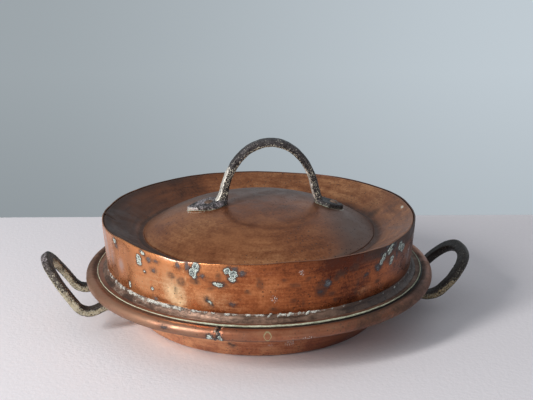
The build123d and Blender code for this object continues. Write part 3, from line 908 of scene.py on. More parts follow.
# Places on the lid's top are (east, north): the middle of the ring worn into the front of the dome
worn_ring_place, worn_ring_radius = (10.5, -19.0), 39.0
# Small dark spot at the front right of the dome, and darkening beside the two palms with its width
dome_spot = (59.4, -43.1)
palm_darkening = [((47, 9), 10.0), ((-26, -4), 6.0)]
# Painted shadow of the handle's left leg, cast on the dome: it runs from this place, this way
arch_shadow_place, arch_shadow_way = (-31, -15), (0.77, 0.64)
# Painted shade of a bend, in a streak across the brim at the right
shade_streak_azimuth = 109
# Copper rubbed clean at the front left of the dome, and a spot of salts on the right brim
rubbed_place = (-52, -46)
brim_salts = (126, 18.5)


def from_place(points, place):
    """Distance in plan from a place."""
    return np.hypot(points[:, 0] - place[0], points[:, 1] - place[1])


def four_sides(points):
    """How far to the back, the right, the left and the front of the lid each point is."""
    east, north = points[:, 0], points[:, 1]
    return ease(10, 80, north), ease(25, 90, east), ease(-10, -90, east), ease(10, -80, north)


def lid_top_stain_and_shade(points, radius, on_dome, fold):
    """Brown of the worn ring, and painted shade of crease, valley, fold, left brim, streak and the handle's
    shadow; and the ring alone.
    """
    east, north = points[:, 0], points[:, 1]
    _, right, left, front = four_sides(points)
    ring = bump(from_place(points, worn_ring_place) - worn_ring_radius, 3.2) * ease(2, -14, north)
    # Painted shade in the crease round the dome and in the valley, more on the left, right and front, and
    # over the right of the brim
    in_valley = bump(radius - valley_line, 4.5)
    stain = 0.34 * ring + 0.95 * bump(radius - crease_radius, 1.8)
    stain += in_valley * (0.45 + 0.35 * left + 0.35 * right + 0.3 * front)
    stain += 0.5 * bump(radius - 105, 11) * right * (1 - in_valley)
    # Painted shade of the crease that runs from the notch, and darker towards the brim's outer edge
    stain += 0.95 * fold + 0.4 * ease(130.0, 133.0, radius)
    # Painted shade on the left of the brim, which faces away from the light
    brim_left = ease(104, 109, radius) * ease(-25, -85, east)
    stain += brim_left * (0.6 - 0.2 * ease(20, 90, north) + 0.3 * ease(124, 130, radius))
    # Painted shade of a bend, in a streak across the right of the brim
    x, y = polar(1.0, shade_streak_azimuth)
    streak = bump(np.abs(east * y - north * x), 9.0) * (east * x + north * y > 0)
    stain += 0.5 * streak * ease(102, 108, radius)
    # Painted shadow of the handle's left leg, cast back and to the right across the dome
    behind = (east - arch_shadow_place[0]) * arch_shadow_way[0] + (north - arch_shadow_place[1]) * arch_shadow_way[1]
    aside = (north - arch_shadow_place[1]) * arch_shadow_way[0] - (east - arch_shadow_place[0]) * arch_shadow_way[1]
    arch_shadow = bump(aside, 5.0) * ease(-2, 4, behind) * ease(46, 8, behind)
    stain += 0.6 * arch_shadow * on_dome
    stain += 0.9 * bump(from_place(points, dome_spot), 1.6)
    beside_palms = sum(bump(from_place(points, place), width) for place, width in palm_darkening)
    return np.clip(stain + 0.25 * beside_palms, 0, 1), ring


def lid_top_salts(points):
    """Whitish salts round the palms of the lid handle, and one spot on the right brim."""
    pale = bump(np.hypot(points[:, 0] - brim_salts[0], (points[:, 1] - brim_salts[1]) * 0.4), 2.4)
    way, off = along_arch(points)
    for palm, (length, width) in arch_palms.items():
        middle = arch_feet[0] - length / 2 if palm == "left" else arch_feet[1] + length / 2
        edge = (np.hypot((way - middle) / (length / 2 - 0.5), off / (width / 2)) - 1) * width / 2
        pale += 0.75 * bump(edge - 0.5, 1.3) * (off < 6)
    return pale + 0.30 * bump(np.hypot(way - arch_feet[1] + 10, off), 7.0)


def mark_lid_top(piece):
    """Bend the dome or the brim, and mark its stains, tarnish and clean copper, and its painted light and
    shade.
    """
    points = bend_lid_top(piece)
    radius, _, _ = around(points)
    east, north = points[:, 0], points[:, 1]
    fold = brim_fold(points)
    back, right, left, front = four_sides(points)
    on_dome, on_brim = ease(crease_radius, crease_radius - 3, radius), ease(103, 107, radius)
    # Painted highlight along the edge of the dome: lighter on the right and the back, clean copper on the
    # left
    dome_edge_glint = bump(radius - dome_glint_radius, 2.2)
    stain, ring = lid_top_stain_and_shade(points, radius, on_dome, fold)
    mark(piece, "stain", stain)
    front_left = ease(10, -30, north) * ease(20, -50, east)
    # Painted shade, near black, in the valley at the front left and the left, and along the fold
    shaded_valley = bump(radius - 102.6, 4.0) * np.maximum(front_left, 0.6 * left)
    mark(piece, "black", 0.42 * shaded_valley + 0.5 * fold)
    dull = np.maximum(ease(-25, 55, north), right)
    haze = on_dome * np.clip(0.2 + 0.8 * dull, 0, 1) * (1 - 0.7 * front * (1 - right))
    mark(piece, "haze", np.clip(haze + 0.5 * dome_edge_glint * right - 0.5 * ring, 0, 1))
    # Painted light: the dome lighter on the left, where the light falls, and darker to the right and the
    # back; the brim darker on its left, which faces away from the light, and lighter at the back
    tone = on_dome * (0.55 * left * (1 - back) - 0.35 * right - 0.5 * back + 0.25 * front)
    tone += on_brim * (-0.8 * ease(-20, -80, east) - 0.15 * right + 0.35 * back - 0.1 * back * right)
    mark(piece, "tone", tone + 0.9 * dome_edge_glint * np.maximum(right, back) - 0.25 * ring)
    mark(piece, "pitted", 0.7 * on_dome * ease(-20, 40, east) + 0.5 * on_brim * back)
    bare = 0.42 * bump(from_place(points, rubbed_place), 34)
    bare += 0.55 * bump(np.hypot(east - 4, (north + 104) * 1.6), 60)
    # Partly painted light: clean copper on the brim's back and right, which face the light
    bare += 0.30 * on_brim * ease(-60, 20, east) * back + 0.30 * on_brim * right * (1 - 0.7 * back)
    mark(piece, "bare", bare + 0.3 * dome_edge_glint * left)
    mark(piece, "pale", lid_top_salts(points))
    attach(piece, "lid")


# What the sheets of the lid's top share
lid_top_metal = dict(swell=lid_swell, hammer=(16, 0.22), seed=lid_seed)


def make_lid_top():
    """Dome and brim, which meet under the crease."""
    dome, brim = lid_top_moves()
    seam = follow((0, dome_top), 0, dome, 0, 5.0)[-1]
    section = sheet_section((0, dome_top), 0, dome, 0, -lid_sheet, 1.3, 5.0)
    piece = turned("lid_crown", section, segments=640, finish=top_copper, **lid_top_metal)
    mark_lid_top(piece)
    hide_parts("lid_dome")
    section = sheet_section(seam, -dome_edge_slope, brim, 0, -lid_sheet, 1.2, 4.0)
    piece = turned("lid_funnel", section, segments=700, finish=top_copper, **lid_top_metal)
    mark_lid_top(piece)
    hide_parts("lid_brim")


def make_lid_tin():
    """Tin under the dome and the brim."""
    dome, brim = lid_top_moves()
    near, far = 0.1 - lid_sheet, -lid_sheet - tin_coat
    section = sheet_section((0, dome_top), 0, dome + brim, near, far, 4.0, 4.0)
    piece = turned("lid_tin", section, segments=420, finish=tin, **lid_top_metal)
    bend_lid_top(piece)
    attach(piece, "lid")
    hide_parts("lid_tin_lining")


# Foot ring of the lid, with its solder and salts
def make_lid_foot():
    """Ring that laps the wall from inside and turns out into the flange."""
    lean = math.radians(lid_wall_lean)
    lap_radius = lid_wall_radius(foot_lap_top) - lid_sheet - foot_lap_gap
    lap = (foot_lap_top - foot_top - foot_cove * (1 + math.sin(lean))) / math.cos(lean)
    flange = foot_radius - lap_radius + lap * math.sin(lean) - foot_cove * math.cos(lean)
    moves = [(lap,), (foot_cove, 90 + lid_wall_lean), (flange,)]
    start = (lap_radius, foot_lap_top)
    section = sheet_section(start, -90 - lid_wall_lean, moves, 0, -foot_sheet, 1.2, 2.5)
    piece = turned("lid_foot_flange", section, segments=520, swell=lid_swell, hammer=(9, 0.12),
                   seed=lid_seed, finish=foot_copper)
    radius, azimuth, _ = around(places(piece))
    seen = front_share(azimuth)
    # Painted shade: darker on the right, away from the light, and along the flange's outer edge; also darker
    # at the far left
    sides = 0.55 * ease(15, 50, azimuth) + 0.3 * ease(-60, -80, azimuth)
    mark(piece, "stain", sides * seen + 0.5 * ease(138.3, 139.2, radius))
    mark(piece, "haze", 0.6 * ease(15, 50, azimuth) * seen + 0.3)
    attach(piece, "lid")
    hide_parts("lid_foot_ring")


def make_solder():
    """Bead in the corner of wall and flange, its front a curve that dips."""
    inner = lid_wall_foot_radius - lid_sheet / 2
    top, end = (lid_wall_radius(solder_top) + solder_lip, solder_top), (solder_reach, foot_top)
    top_point, dip_point, end_point = np.array(top), np.array(solder_dip), np.array(end)
    dip = [(1 - t) ** 2 * top_point + 2 * t * (1 - t) * dip_point + t * t * end_point
           for t in np.linspace(0, 1, 14)]
    outline = [(inner, foot_top), (inner, solder_top)] + [tuple(p) for p in dip]
    piece = turned("solder_bead", outline + outline[:1], segments=760, swell=(11, 0.7), hammer=(3.2, 0.9),
                   seed=11.0, finish=old_solder)
    _, azimuth, height = around(places(piece))
    rng = np.random.default_rng(8)
    crumbs = np.zeros(len(azimuth))
    for count, phase in zip((37, 61, 97, 151), rng.uniform(0, math.tau, 4)):
        crumbs += np.sin(np.radians(azimuth) * count + phase) / 2
    at_left = ease(-80, -62, azimuth) * ease(-18, -26, azimuth)
    at_front = ease(-26, -18, azimuth) * ease(30, 20, azimuth)
    amount = 0.26 + 0.42 * at_left + 0.30 * at_front + 0.3 * bump(azimuth + 36, 5)
    rugged = 0.2 + 0.1 * at_front
    high = ease(45.4 - 1.0 * at_left, 47.0, height)
    mark(piece, "salts", np.clip((amount + rugged * crumbs) * high + 0.43 * at_left * (1 - high), 0, 1))
    # Painted shade: the bead darker on the right, away from the light
    mark(piece, "stain", 0.85 * ease(14, 42, azimuth) * front_share(azimuth))
    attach(piece, "lid")
    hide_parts("lid_foot_solder")


# Salts on the edge of the foot's flange: the middle and the size of their section
edge_salt_radius, edge_salt_height, edge_salt_size = foot_radius - 0.35, foot_top - 0.05, 0.75


def make_edge_salts():
    """Line of salts that has grown on the edge of the foot's flange."""
    outline = [(edge_salt_radius + edge_salt_size * math.cos(a),
                edge_salt_height + edge_salt_size * math.sin(a)) for a in np.linspace(0, math.tau, 11)]
    piece = turned("flange_salts", outline, segments=1100, swell=(14, 0.5), hammer=(3.4, 0.9),
                   seed=17.0, finish=edge_salts)
    points = places(piece)
    radius, azimuth, height = around(points)
    thin = (0.55 * ease(-14, -34, azimuth) + 0.35 * ease(30, 50, azimuth)) * front_share(azimuth)
    push_out(points, -thin * (radius - edge_salt_radius))
    points[:, 2] -= thin * (height - edge_salt_height)
    move_to(piece, points)
    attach(piece, "lid")


# Pan body
def pan_moves():
    """Outer face of the pan from the centre of the base to the end of the roll."""
    lean = math.radians(wall_lean)
    corner_tangent = base_corner * math.tan(lean / 2)
    ledge_underside = ledge_top - pan_sheet
    wall_rise = ledge_underside - (base_corner + ledge_bend) * (1 - math.cos(lean))
    wall_run = wall_rise / math.sin(lean)
    flat = base_radius - corner_tangent
    ledge_start = flat + (base_corner + ledge_bend) * math.sin(lean) + wall_run * math.cos(lean)
    lift = wire_height + wire_radius - ledge_underside
    lead = math.degrees(math.pi / 2 - math.asin(1 - lift / (roll_lead_bend + wire_radius)))
    lead_run = (roll_lead_bend + wire_radius) * math.sin(math.radians(lead))
    ledge_run = roll_centre_radius - lead_run - ledge_start
    return [(flat,), (base_corner, wall_lean), (wall_run,), (ledge_bend, -wall_lean),
            (ledge_run,), (roll_lead_bend, lead), (wire_radius, -lead - roll_wrap)]


# Pitch between the points of each of those moves
pan_pitches = (15.0, 1.5, 2.7, 1.2, 2.0, 0.9, 0.8)
# Open split across the roll, and the crusts and scabs of the pan, given like those of the lid
split_azimuth = -11.9
pan_crusts = [(-11.6, 33.8, 4.8, 4.2, 0), (-11.7, 36.0, 3.0, 2.8, 0), (-14.7, 36.8, 4.0, 1.8, -10),
              (-14.4, 34.4, 4.6, 2.0, 0)]
pan_scabs = [(-10.6, 12.8, 3.4, 3.0, 30), (-11.8, 15.2, 2.2, 2.2, 0), (-29.0, 38.0, 3.0, 1.6, 0)]
pan_specks = [(14.3, 34.6, 8.0, 2.2, 1.0), (9.5, 34.6, 6.0, 1.6, 0.6), (12.1, 15.5, 7.0, 7.0, 1.0),
              (4.3, 14.5, 4.5, 4.0, 0.8), (-13.6, 33.5, 3.0, 2.0, 0.8)]
# A dried drop on the roll: azimuth and height of its middle, half width and half height
drop_azimuth, drop_height = 2.3, 37.3
drop_half_width, drop_half_height = 3.3, 4.0


def dried_drop_shape(azimuth, height, radius):
    """One on the outline of a drop that narrows downwards, less inside and more outside."""
    level = height - drop_height
    width = drop_half_width * (0.45 + 0.55 * np.clip(level / 5 + 0.78, 0, 1))
    return np.hypot(across(azimuth, drop_azimuth, radius) / width, level / drop_half_height)


def mark_pan(piece, radius, azimuth, height, rolled, out, off_split):
    """Mark the rolled edge and the lower wall; out is how far a point is outside the wire."""
    seen = front_share(azimuth)
    lower = (radius < 136) & (height < 38)
    roll_front = rolled & (out > -3)
    crusts = spot_mark(pan_crusts, azimuth, height, 148.0)
    mark(piece, "crust", crusts * ((height < 30) | roll_front & (height < 41.5)))
    mark(piece, "scab", spot_mark(pan_scabs, azimuth, height, 115.0) * ((height < 25) | rolled))
    specks = patches(pan_specks, azimuth, height, radius) * ((height < 30) | roll_front)
    mark(piece, "speck", np.clip(specks, 0, 1))
    drop = dried_drop_shape(azimuth, height, radius)
    mark(piece, "drop", np.where(roll_front, np.minimum(drop, 2.0), 2.0))
    lip = 0.8 * bump(np.abs(off_split) - 2.1, 1.0) * rolled * ease(35.5, 37.5, height)
    mark(piece, "pale", np.clip(lip, 0, 1))
    # Painted shade: black in the open split and in the gap just outside the edge of the lid's flange
    split = ease(1.5, 0.8, np.abs(off_split)) * rolled
    inner_line = rolled * ease(142.6, 141.2, radius) * ease(39.5, 40.4, height)
    inner_line = inner_line * (0.2 + 0.8 * ease(-40, -15, azimuth))
    mark(piece, "black", np.clip(2.0 * split + 0.75 * inner_line, 0, 1))
    # Painted shade under the roll, on the right of the roll and the lower wall, and on the roll's inner side
    # where it would mirror the lid wall
    under_roll = 0.8 * rolled * ease(34.6, 32.8, height)
    roll_stain_and_shade = 0.20 + 0.60 * ease(8, 38, azimuth) * ease(110, 60, azimuth)
    roll_stain_and_shade += 0.4 * ease(-74, -88, azimuth) * seen
    roll_stain_and_shade += (0.35 + 0.3 * ease(60, 30, np.abs(azimuth))) * ease(1, -2, out)
    lower_stain_and_shade = (0.12 + 0.22 * ease(10, 42, azimuth) * seen) * lower
    mark(piece, "stain", np.clip(np.maximum.reduce([under_roll, roll_stain_and_shade * rolled, lower_stain_and_shade]), 0, 1))
    mark(piece, "haze", rolled * (0.42 + 0.3 * ease(-8, -24, azimuth) * seen))
    # Painted light: the roll lighter on the left, where the light falls, the lower wall darker to the right
    tone = rolled * 0.8 * ease(-15, -45, azimuth) - 0.4 * lower * ease(-5, 35, azimuth)
    mark(piece, "tone", seen * tone)
    # Partly painted light: the lower wall's clean copper brightest on the left, where it mirrors the lit
    # floor
    bare = 0.72 - 0.3 * ease(-35, 0, azimuth) - 0.3 * ease(5, 35, azimuth)
    mark(piece, "bare", bare * lower * seen)


def make_pan():
    """Pan sheet, with the split in its rolled edge opened and its lips pushed up."""
    section = sheet_section((0, 0), 0, pan_moves(), 0, pan_sheet, pan_pitches, 6.5)
    piece = turned("pan_sheet", section, segments=800, swell=(50, 0.7), hammer=(15, 0.25),
                   seed=21.0, finish=pan_copper)
    points = places(piece)
    radius, azimuth, height = around(points)
    out, up = radius - roll_centre_radius, height - wire_height
    from_wire = np.hypot(out, up)
    rolled = (from_wire < roll_radius + 1.2) & (radius > 140)
    zigzag = 0.7 * np.sin(height * 1.5) + 0.4 * np.sin(radius * 2.9 + 1)
    off_split = across(azimuth, split_azimuth, radius) - zigzag
    sink = (1.8 * bump(off_split, 1.3) - 0.7 * bump(np.abs(off_split) - 2.1, 1.2)) * rolled
    away = np.stack([out, up]) / np.maximum(from_wire, 1e-6)
    push_out(points, -sink * away[0] - 0.25 * rolled)
    points[:, 2] -= sink * away[1]
    points[:, 2] = np.maximum(points[:, 2], 0.0)
    move_to(piece, points)
    mark_pan(piece, radius, azimuth, height, rolled, out, off_split)
    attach(piece, "pan")
    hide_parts("pan_body")


# Handles
def cast_tree():
    """Rough skin of a casting: slow swells, and pits that eat into it."""
    bench, given = new_group("cast_skin", [
        ("Swell Size", "Float"), ("Swell Depth", "Float"), ("Pit Size", "Float"),
        ("Pit Depth", "Float"), ("Growth", "Float"), ("Seed", "Float"), ("Finish", "Material")])
    here = bench.node("GeometryNodeInputPosition")
    out = bench.node("GeometryNodeInputNormal")
    swell = bench.node("ShaderNodeTexNoise", {"noise_dimensions": "4D"}, {
        "Vector": here, "W": given["Seed"], "Detail": 2.0, "Scale": 1.0 / given["Swell Size"]})
    holes = bench.node("ShaderNodeTexVoronoi", {"voronoi_dimensions": "4D"}, {
        "Vector": here, "W": given["Seed"], "Scale": 1.0 / given["Pit Size"]})
    pit = (1 - holes.step(0.1, 0.5)) * swell.step(0.42, 0.6)
    depth = (swell - 0.5) * given["Swell Depth"] - pit * given["Pit Depth"] + given["Growth"]
    moved = bench.node("GeometryNodeSetPosition", {}, {
        "Geometry": given["Geometry"], "Offset": out.maths("MULTIPLY", out, depth)})
    return close_group(bench, moved, given["Finish"])


def skin_copy(name, node, voxel):
    """Even, slightly worn copy of a solid's mesh."""
    base = bpy.data.objects.new(name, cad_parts[node].data.copy())
    bpy.context.collection.objects.link(base)
    mesh = bmesh.new()
    mesh.from_mesh(base.data)
    bmesh.ops.remove_doubles(mesh, verts=mesh.verts, dist=0.01 * mm)
    mesh.to_mesh(base.data)
    mesh.free()
    remesh = base.modifiers.new("even", "REMESH")
    remesh.mode = "VOXEL"
    remesh.voxel_size = voxel * mm
    smooth = base.modifiers.new("worn", "SMOOTH")
    smooth.factor = 0.5
    smooth.iterations = 1
    seen = base.evaluated_get(bpy.context.evaluated_depsgraph_get())
    plain = bpy.data.meshes.new_from_object(seen)
    bpy.data.objects.remove(base)
    return plain


cast_skin = cast_tree()


def curvature(piece, points, normals):
    """How far each corner stands out from its neighbours, in millimetres."""
    edges = np.empty(len(piece.data.edges) * 2, dtype=np.int64)
    piece.data.edges.foreach_get("vertices", edges)
    first, second = edges.reshape(-1, 2).T
    count = np.bincount(np.concatenate([first, second]), minlength=len(points))
    stand = points.copy()
    for _ in range(2):
        total = np.zeros_like(stand)
        for column in range(3):
            total[:, column] = (np.bincount(first, stand[second, column], len(points))
                                + np.bincount(second, stand[first, column], len(points)))
        stand = total / np.maximum(count, 1)[:, None]
    return ((points - stand) * normals).sum(axis=1)


handle_voxel = 0.62


def make_handle(name, node, body, seed, marks, grow, rough, bronze, shape=None):
    """Handle grown a little from its solid, with a cast skin as rough as given."""
    piece = grown(name, skin_copy(name, node, handle_voxel), cast_skin, swell_size=7 * mm,
                  swell_depth=0.9 * rough * mm, pit_size=2.6 * mm, pit_depth=0.55 * rough * mm,
                  growth=grow * mm, seed=seed, finish=bronze)
    face_outwards(piece)
    points = places(piece)
    if shape:
        shape(points)
        move_to(piece, points)
    flat = np.empty(len(piece.data.vertices) * 3)
    piece.data.vertices.foreach_get("normal", flat)
    normals = flat.reshape(-1, 3)
    edge = np.clip(curvature(piece, points, normals) / 0.16, 0, 1)
    for label, values in marks(points, normals, edge).items():
        mark(piece, label, np.clip(values, 0, 1))
    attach(piece, body)
    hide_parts(node)


def side_marks(normals, edge):
    """Side handles are blackish brown on top and brassy on their outer sides and undersides, with painted
    shade under them.
    """
    top, under = np.clip(normals[:, 2], 0, 1), np.clip(-normals[:, 2], 0, 1)
    outer = np.clip(-normals[:, 1], 0, 1)
    return {"worn": 0.58 * (1 - top ** 0.6) + 0.22 * outer * (1 - top),
            "edge": 0.3 * edge * (1 - top), "dirt": edge * (1.2 * under + 0.45 * top) + 0.3 * under}


def left_marks(points, normals, edge):
    """The left one has powder on its end and a little green at the front."""
    marks = side_marks(normals, edge)
    upward = np.clip(normals[:, 2] - normals[:, 0] * 0.6, 0, 1)
    marks["powder"] = 0.55 * ease(-164, -178, points[:, 0]) * upward
    marks["green"] = 0.22 * np.clip(-normals[:, 1], 0, 1)
    return marks


def right_marks(points, normals, edge):
    """The right one is darker, and worn only in front."""
    marks = side_marks(normals, edge)
    marks["worn"] *= 0.25 + 0.75 * np.clip(-normals[:, 1], 0, 1) * ease(12, -8, points[:, 1])
    marks["edge"] *= 0.3
    marks["powder"] = 0.14 * ease(168, 182, points[:, 0])
    return marks


def flare_root(points):
    """The left leg of the lid handle spreads outwards into its palm."""
    way, _ = along_arch(points)
    above = points[:, 2] - dome_height(np.hypot(points[:, 0], points[:, 1]))
    spread = 5.5 * np.exp(-np.clip(above - 2, 0, None) / 4.0) * ease(-29, -33, way) * ease(1, 3, above)
    spread *= ease(-44, -36, way)
    turn = math.radians(arch_turn)
    points[:, 0] -= spread * math.cos(turn)
    points[:, 1] -= spread * math.sin(turn)


# Inside of the arch: its middle along the handle's line and in height, its half width and half height
arch_middle, arch_middle_height = 8.9, 95
arch_half_width, arch_half_height = 38.7, 53


def arch_marks(points, normals, edge):
    """The lid handle has white-rubbed edges, a painted white reflection of the window down its left faces,
    and salts round its left palm.
    """
    way, _ = along_arch(points)
    above = points[:, 2] - dome_height(np.hypot(points[:, 0], points[:, 1]))
    left_face = np.clip(-normals[:, 0], 0, 1)
    up, front = np.clip(normals[:, 2], 0, 1), np.clip(-normals[:, 1], 0, 1)
    palm = ease(5.5, 3.8, above)
    left_palm, right_palm = palm * (way < 10), palm * (way > 10)
    leg = ease(138, 120, points[:, 2])
    left_leg = leg * (way < 10)
    inner = ease(1.03, 0.95, np.hypot((way - arch_middle) / arch_half_width,
                                      (points[:, 2] - arch_middle_height) / arch_half_height))
    worn = front * (0.05 + 0.55 * np.maximum(inner, 0.6 * leg)) + 0.5 * np.clip(-normals[:, 2], 0, 1)
    # Painted reflection of the window, white down the left faces of the legs
    rub_and_glint = 0.25 * edge * (1 - up) + ease(0.2, 0.65, left_face) * leg * (0.75 + 0.35 * left_leg)
    rub_and_glint += 0.6 * left_leg * ease(118, 104, points[:, 2]) * left_face
    # The little lilac on upward faces is a painted sheen
    powder = 0.54 * left_palm + 0.05 * right_palm + 0.12 * up * (1 - palm)
    green = ease(1.3, 0.5, above) * (0.75 * left_palm + 0.4 * right_palm) + 0.08 * left_palm
    green += 0.22 * right_palm
    return {"worn": worn * (1 - 0.5 * palm), "edge": rub_and_glint * (1 - 0.5 * palm), "green": green,
            "powder": powder, "dirt": 0.55 * edge * palm}


# Solder teeth
def dots_tree():
    """One shape set on every point, turned to the point's own axis, each a little different."""
    bench, given = new_group("set_dots", [
        ("Shape", "Object"), ("Least Size", "Float"), ("Most Size", "Float"),
        ("Twist", "Float"), ("Seed", "Int"), ("Finish", "Material")])
    shape = bench.node("GeometryNodeObjectInfo", {"transform_space": "ORIGINAL"},
                       {"Object": given["Shape"]}, "Geometry")
    axis = bench.node("GeometryNodeInputNamedAttribute", {"data_type": "FLOAT_VECTOR"}, {"Name": "axis"})
    side = bench.node("GeometryNodeInputNamedAttribute", {"data_type": "FLOAT_VECTOR"}, {"Name": "side"})
    stand = bench.node("FunctionNodeAxesToRotation", {"primary_axis": "Z", "secondary_axis": "X"},
                       {"Primary Axis": axis, "Secondary Axis": side})
    twist = bench.node("FunctionNodeRandomValue", {"data_type": "FLOAT"},
                       {"Min": given["Twist"] * -1.0, "Max": given["Twist"], "Seed": given["Seed"]}, 1)
    size = bench.node("FunctionNodeRandomValue", {"data_type": "FLOAT"}, {
        "Min": given["Least Size"], "Max": given["Most Size"], "Seed": given["Seed"] + 1}, 1)
    spun = bench.node("FunctionNodeRotateRotation", {"rotation_space": "LOCAL"}, {
        "Rotation": stand, "Rotate By": bench.node("ShaderNodeCombineXYZ", {}, {2: twist})})
    set_out = bench.node("GeometryNodeInstanceOnPoints", {}, {
        "Points": given["Geometry"], "Instance": shape, "Rotation": spun, "Scale": size})
    return close_group(bench, set_out, given["Finish"])


set_dots = dots_tree()


def lump(name, outline, segments, stretch):
    """Small turned shape, from an outline that starts and ends on the axis, kept out of sight."""
    mesh = bmesh.new()
    rings = []
    for radius, height in outline:
        if radius < 1e-6:
            rings.append([mesh.verts.new((0, 0, height * stretch[2] * mm))])
            continue
        turns = [math.tau * k / segments for k in range(segments)]
        rings.append([mesh.verts.new((radius * math.cos(t) * stretch[0] * mm,
                                      radius * math.sin(t) * stretch[1] * mm,
                                      height * stretch[2] * mm)) for t in turns])
    for low, high in zip(rings, rings[1:]):
        for k in range(segments):
            corners = [low[k % len(low)], low[(k + 1) % len(low)],
                       high[(k + 1) % len(high)], high[k % len(high)]]
            kept = list(dict.fromkeys(corners))
            if len(kept) > 2:
                mesh.faces.new(kept)
    bmesh.ops.recalc_face_normals(mesh, faces=mesh.faces)
    data = bpy.data.meshes.new(name)
    mesh.to_mesh(data)
    mesh.free()
    data.shade_smooth()
    return bpy.data.objects.new(name, data)


def spots_mesh(name, spots):
    """Points with the axis and the side direction that a shape takes on each."""
    mesh = bpy.data.meshes.new(name)
    mesh.from_pydata([tuple(np.array(place) * mm) for place, _, _ in spots], [], [])
    for label, column in (("axis", 1), ("side", 2)):
        layer = mesh.attributes.new(label, "FLOAT_VECTOR", "POINT")
        layer.data.foreach_set("vector", np.array([spot[column] for spot in spots], np.float32).ravel())
    return mesh


# Slanted runs of solder against the foot of the wall: azimuths at the front, and the pitch of the rest
tooth_azimuths = [3.4, 6.6, 10.0, 13.2, 16.4]
tooth_pitch = 4.0
tooth_outline = [(0, -0.5), (1.0, -0.2), (1.25, 0.15), (0.8, 0.5), (0, 0.62)]


def solder_teeth():
    """Slanted runs of solder, pressed in along the foot of the wall."""
    spots = []
    rng = np.random.default_rng(5)
    rest = [a for a in np.arange(-180, 180, tooth_pitch) if a < -24 or a > 19]
    for azimuth in tooth_azimuths + rest:
        shown = azimuth in tooth_azimuths
        shift = azimuth + (0 if shown else rng.uniform(-0.9, 0.9))
        x, y = polar(1.0, shift)
        height = solder_top - (0.9 if shown else rng.uniform(1.2, 2.2))
        radius = lid_wall_foot_radius + 0.55
        spots.append(((x * radius, y * radius, height), (x, y, 0.35), (-y + 0.2 * x, x, 0.75)))
    tooth = lump("tooth", tooth_outline, 10, (2.1, 0.85, 0.8))
    piece = grown("solder_runs", spots_mesh("solder_runs", spots), set_dots, shape=tooth,
                  least_size=0.85, most_size=1.1, twist=0.12, seed=3, finish=tooth_salts)
    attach(piece, "lid")


make_lid_wall()
make_lid_top()
make_lid_tin()
make_lid_foot()
make_solder()
make_edge_salts()
make_pan()
solder_teeth()
make_handle("left_loop", "left_handle", "pan", seed=2.0, marks=left_marks, grow=0.35, rough=0.8,
            bronze=left_bronze)
make_handle("right_loop", "right_handle", "pan", seed=4.0, marks=right_marks, grow=0.45, rough=0.8,
            bronze=right_bronze)
make_handle("lid_arch", "lid_handle", "lid", seed=6.0, marks=arch_marks, grow=0.35, rough=1.3,
            bronze=arch_bronze, shape=flare_root)

for node, material in (("rim_wire", iron), ("pan_tin_lining", tin),
                       ("left_handle_rivets", rivet_copper), ("right_handle_rivets", rivet_copper),
                       ("lid_handle_rivets", rivet_copper)):
    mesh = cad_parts[node].data
    mesh.materials.clear()
    mesh.materials.append(material)


# Floor and backdrop
def flat_sheet(name, corners):
    """Flat sheet of the set, which isn't part of the object."""
    mesh = bpy.data.meshes.new(name)
    mesh.from_pydata(corners, [], [tuple(range(len(corners)))])
    piece = bpy.data.objects.new(name, mesh)
    bpy.context.collection.objects.link(piece)
    return piece


def floor_paint():
    """Pale paint with a fine weave."""
    material, bench, place = finish("floor_paint")
    weave = bench.noise(place, 260, 3, 0.6)
    colour = bench.mix(weave, (0.79, 0.77, 0.81), (0.85, 0.83, 0.87))
    surface(bench, colour, 0.0, 0.9, bench.bumps(weave, 0.3))
    return material


def backdrop_paint():
    """Grey-blue wall, lighter to the right, seen only from the front and by gloss."""
    material, bench, place = finish("backdrop_paint")
    # Painted light: the backdrop lighter to the right, and darker near the floor
    shade = (place.axis("X") + 0.32) / 0.68
    colour = bench.mix(shade.step(0.0, 1.0), (0.335, 0.375, 0.40), (0.535, 0.60, 0.65))
    colour = bench.mix((place.axis("Z") / 0.16).clamp(), bench.mix(0.16, colour, (0.0, 0.0, 0.0)), colour)
    path = bench.tree.nodes.new("ShaderNodeLightPath")
    seen = Wire(bench, path.outputs["Is Camera Ray"]) + Wire(bench, path.outputs["Is Glossy Ray"])
    behind = bench.node("ShaderNodeNewGeometry", {}, {}, "Backfacing")
    glow = bench.node("ShaderNodeEmission", {}, {"Color": colour, "Strength": 1.0})
    clear = bench.node("ShaderNodeBsdfTransparent")
    blend = bench.node("ShaderNodeMixShader", {}, {0: seen.clamp() * (1 - behind), 1: clear, 2: glow})
    out = bench.tree.nodes.new("ShaderNodeOutputMaterial")
    bench.tree.links.new(blend.socket, out.inputs["Surface"])
    return material


# Floor just under the pan's base, and backdrop behind its left and right loops, in metres
floor_half, floor_drop = 4, 0.0003
backdrop_half, backdrop_top, backdrop_drop = 3, 2.5, 0.0002
backdrop_place = 0.256
floor = flat_sheet("floor", [(x * floor_half, y * floor_half, -floor_drop)
                             for x, y in ((-1, -1), (1, -1), (1, 1), (-1, 1))])
floor.data.materials.append(floor_paint())
backdrop = flat_sheet("backdrop", [
    (x * backdrop_half, backdrop_place, z)
    for x, z in ((-1, -backdrop_drop), (1, -backdrop_drop), (1, backdrop_top), (-1, backdrop_top))])
backdrop.data.materials.append(backdrop_paint())


# Light and camera
def aim(place, target):
    """Matrix of something at a place that looks at a target."""
    forward = (Vector(target) - Vector(place)).normalized()
    return Matrix.Translation(place) @ forward.to_track_quat("-Z", "Y").to_matrix().to_4x4()


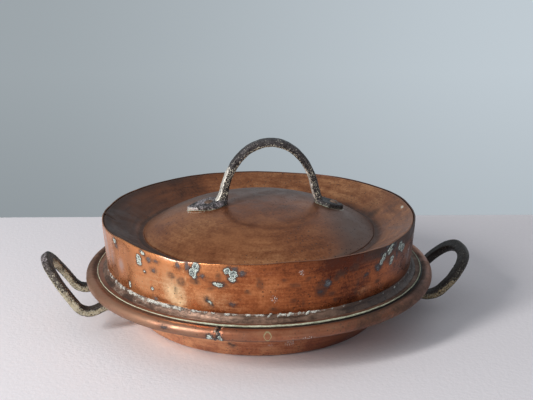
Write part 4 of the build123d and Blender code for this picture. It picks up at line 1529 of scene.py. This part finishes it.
def lamp(name, place, target, width, height, power, colour):
    """Soft box at a place, with its power in watts."""
    light = bpy.data.lights.new(name, "AREA")
    light.shape = "RECTANGLE"
    light.size, light.size_y = width, height
    light.energy = power
    light.color = colour
    piece = bpy.data.objects.new(name, light)
    bpy.context.collection.objects.link(piece)
    piece.matrix_world = aim(place, target)


pan_middle = (0, 0, 0.05)
lamp("window", (-1.25, -0.98, 0.85), pan_middle, width=0.24, height=0.9, power=28, colour=(1.0, 0.97, 0.94))
lamp("fill", (1.2, -1.0, 0.9), pan_middle, width=1.0, height=1.0, power=0.8, colour=(0.92, 0.96, 1.0))


def room_glow():
    """Even light from all round, a little stronger from the left, the front and above."""
    world = bpy.data.worlds.new("room")
    world.use_nodes = True
    world.node_tree.nodes.clear()
    bench = Bench(world.node_tree)
    way = bench.node("ShaderNodeTexCoord", {}, {}, "Generated")
    side = (way.axis("X") * -0.5 + way.axis("Y") * -0.25 + way.axis("Z") * 0.35 + 0.5).clamp()
    sky = bench.mix(side, (0.20, 0.21, 0.23), (0.62, 0.64, 0.66))
    glow = bench.node("ShaderNodeBackground", {}, {"Color": sky, "Strength": 0.75})
    out = world.node_tree.nodes.new("ShaderNodeOutputWorld")
    world.node_tree.links.new(glow.socket, out.inputs["Surface"])
    return world


bpy.context.scene.world = room_glow()

# The camera stands 0.89 m in front of the pan's middle and 0.37 m above the floor
camera_place = (0.0, -0.89157, 0.37488)
camera_pitch, camera_yaw, camera_roll = 0.301054, 0.00743628, -0.00312191
focal_pixels, image_width = 1086.257, 533

camera = bpy.data.cameras.new("camera")
camera.sensor_fit = "HORIZONTAL"
camera.sensor_width = 36.0
camera.lens = focal_pixels / image_width * camera.sensor_width
eye = bpy.data.objects.new("camera", camera)
bpy.context.collection.objects.link(eye)
forward = Vector((math.sin(camera_yaw) * math.cos(camera_pitch),
                  math.cos(camera_yaw) * math.cos(camera_pitch), -math.sin(camera_pitch)))
level = Vector((math.cos(camera_yaw), -math.sin(camera_yaw), 0))
above = level.cross(forward)
right = math.cos(camera_roll) * level + math.sin(camera_roll) * above
up = -math.sin(camera_roll) * level + math.cos(camera_roll) * above
turn = Matrix((right, up, -forward)).transposed().to_4x4()
eye.matrix_world = Matrix.Translation(camera_place) @ turn
bpy.context.scene.camera = eye
bpy.context.scene.view_settings.view_transform = "Standard"
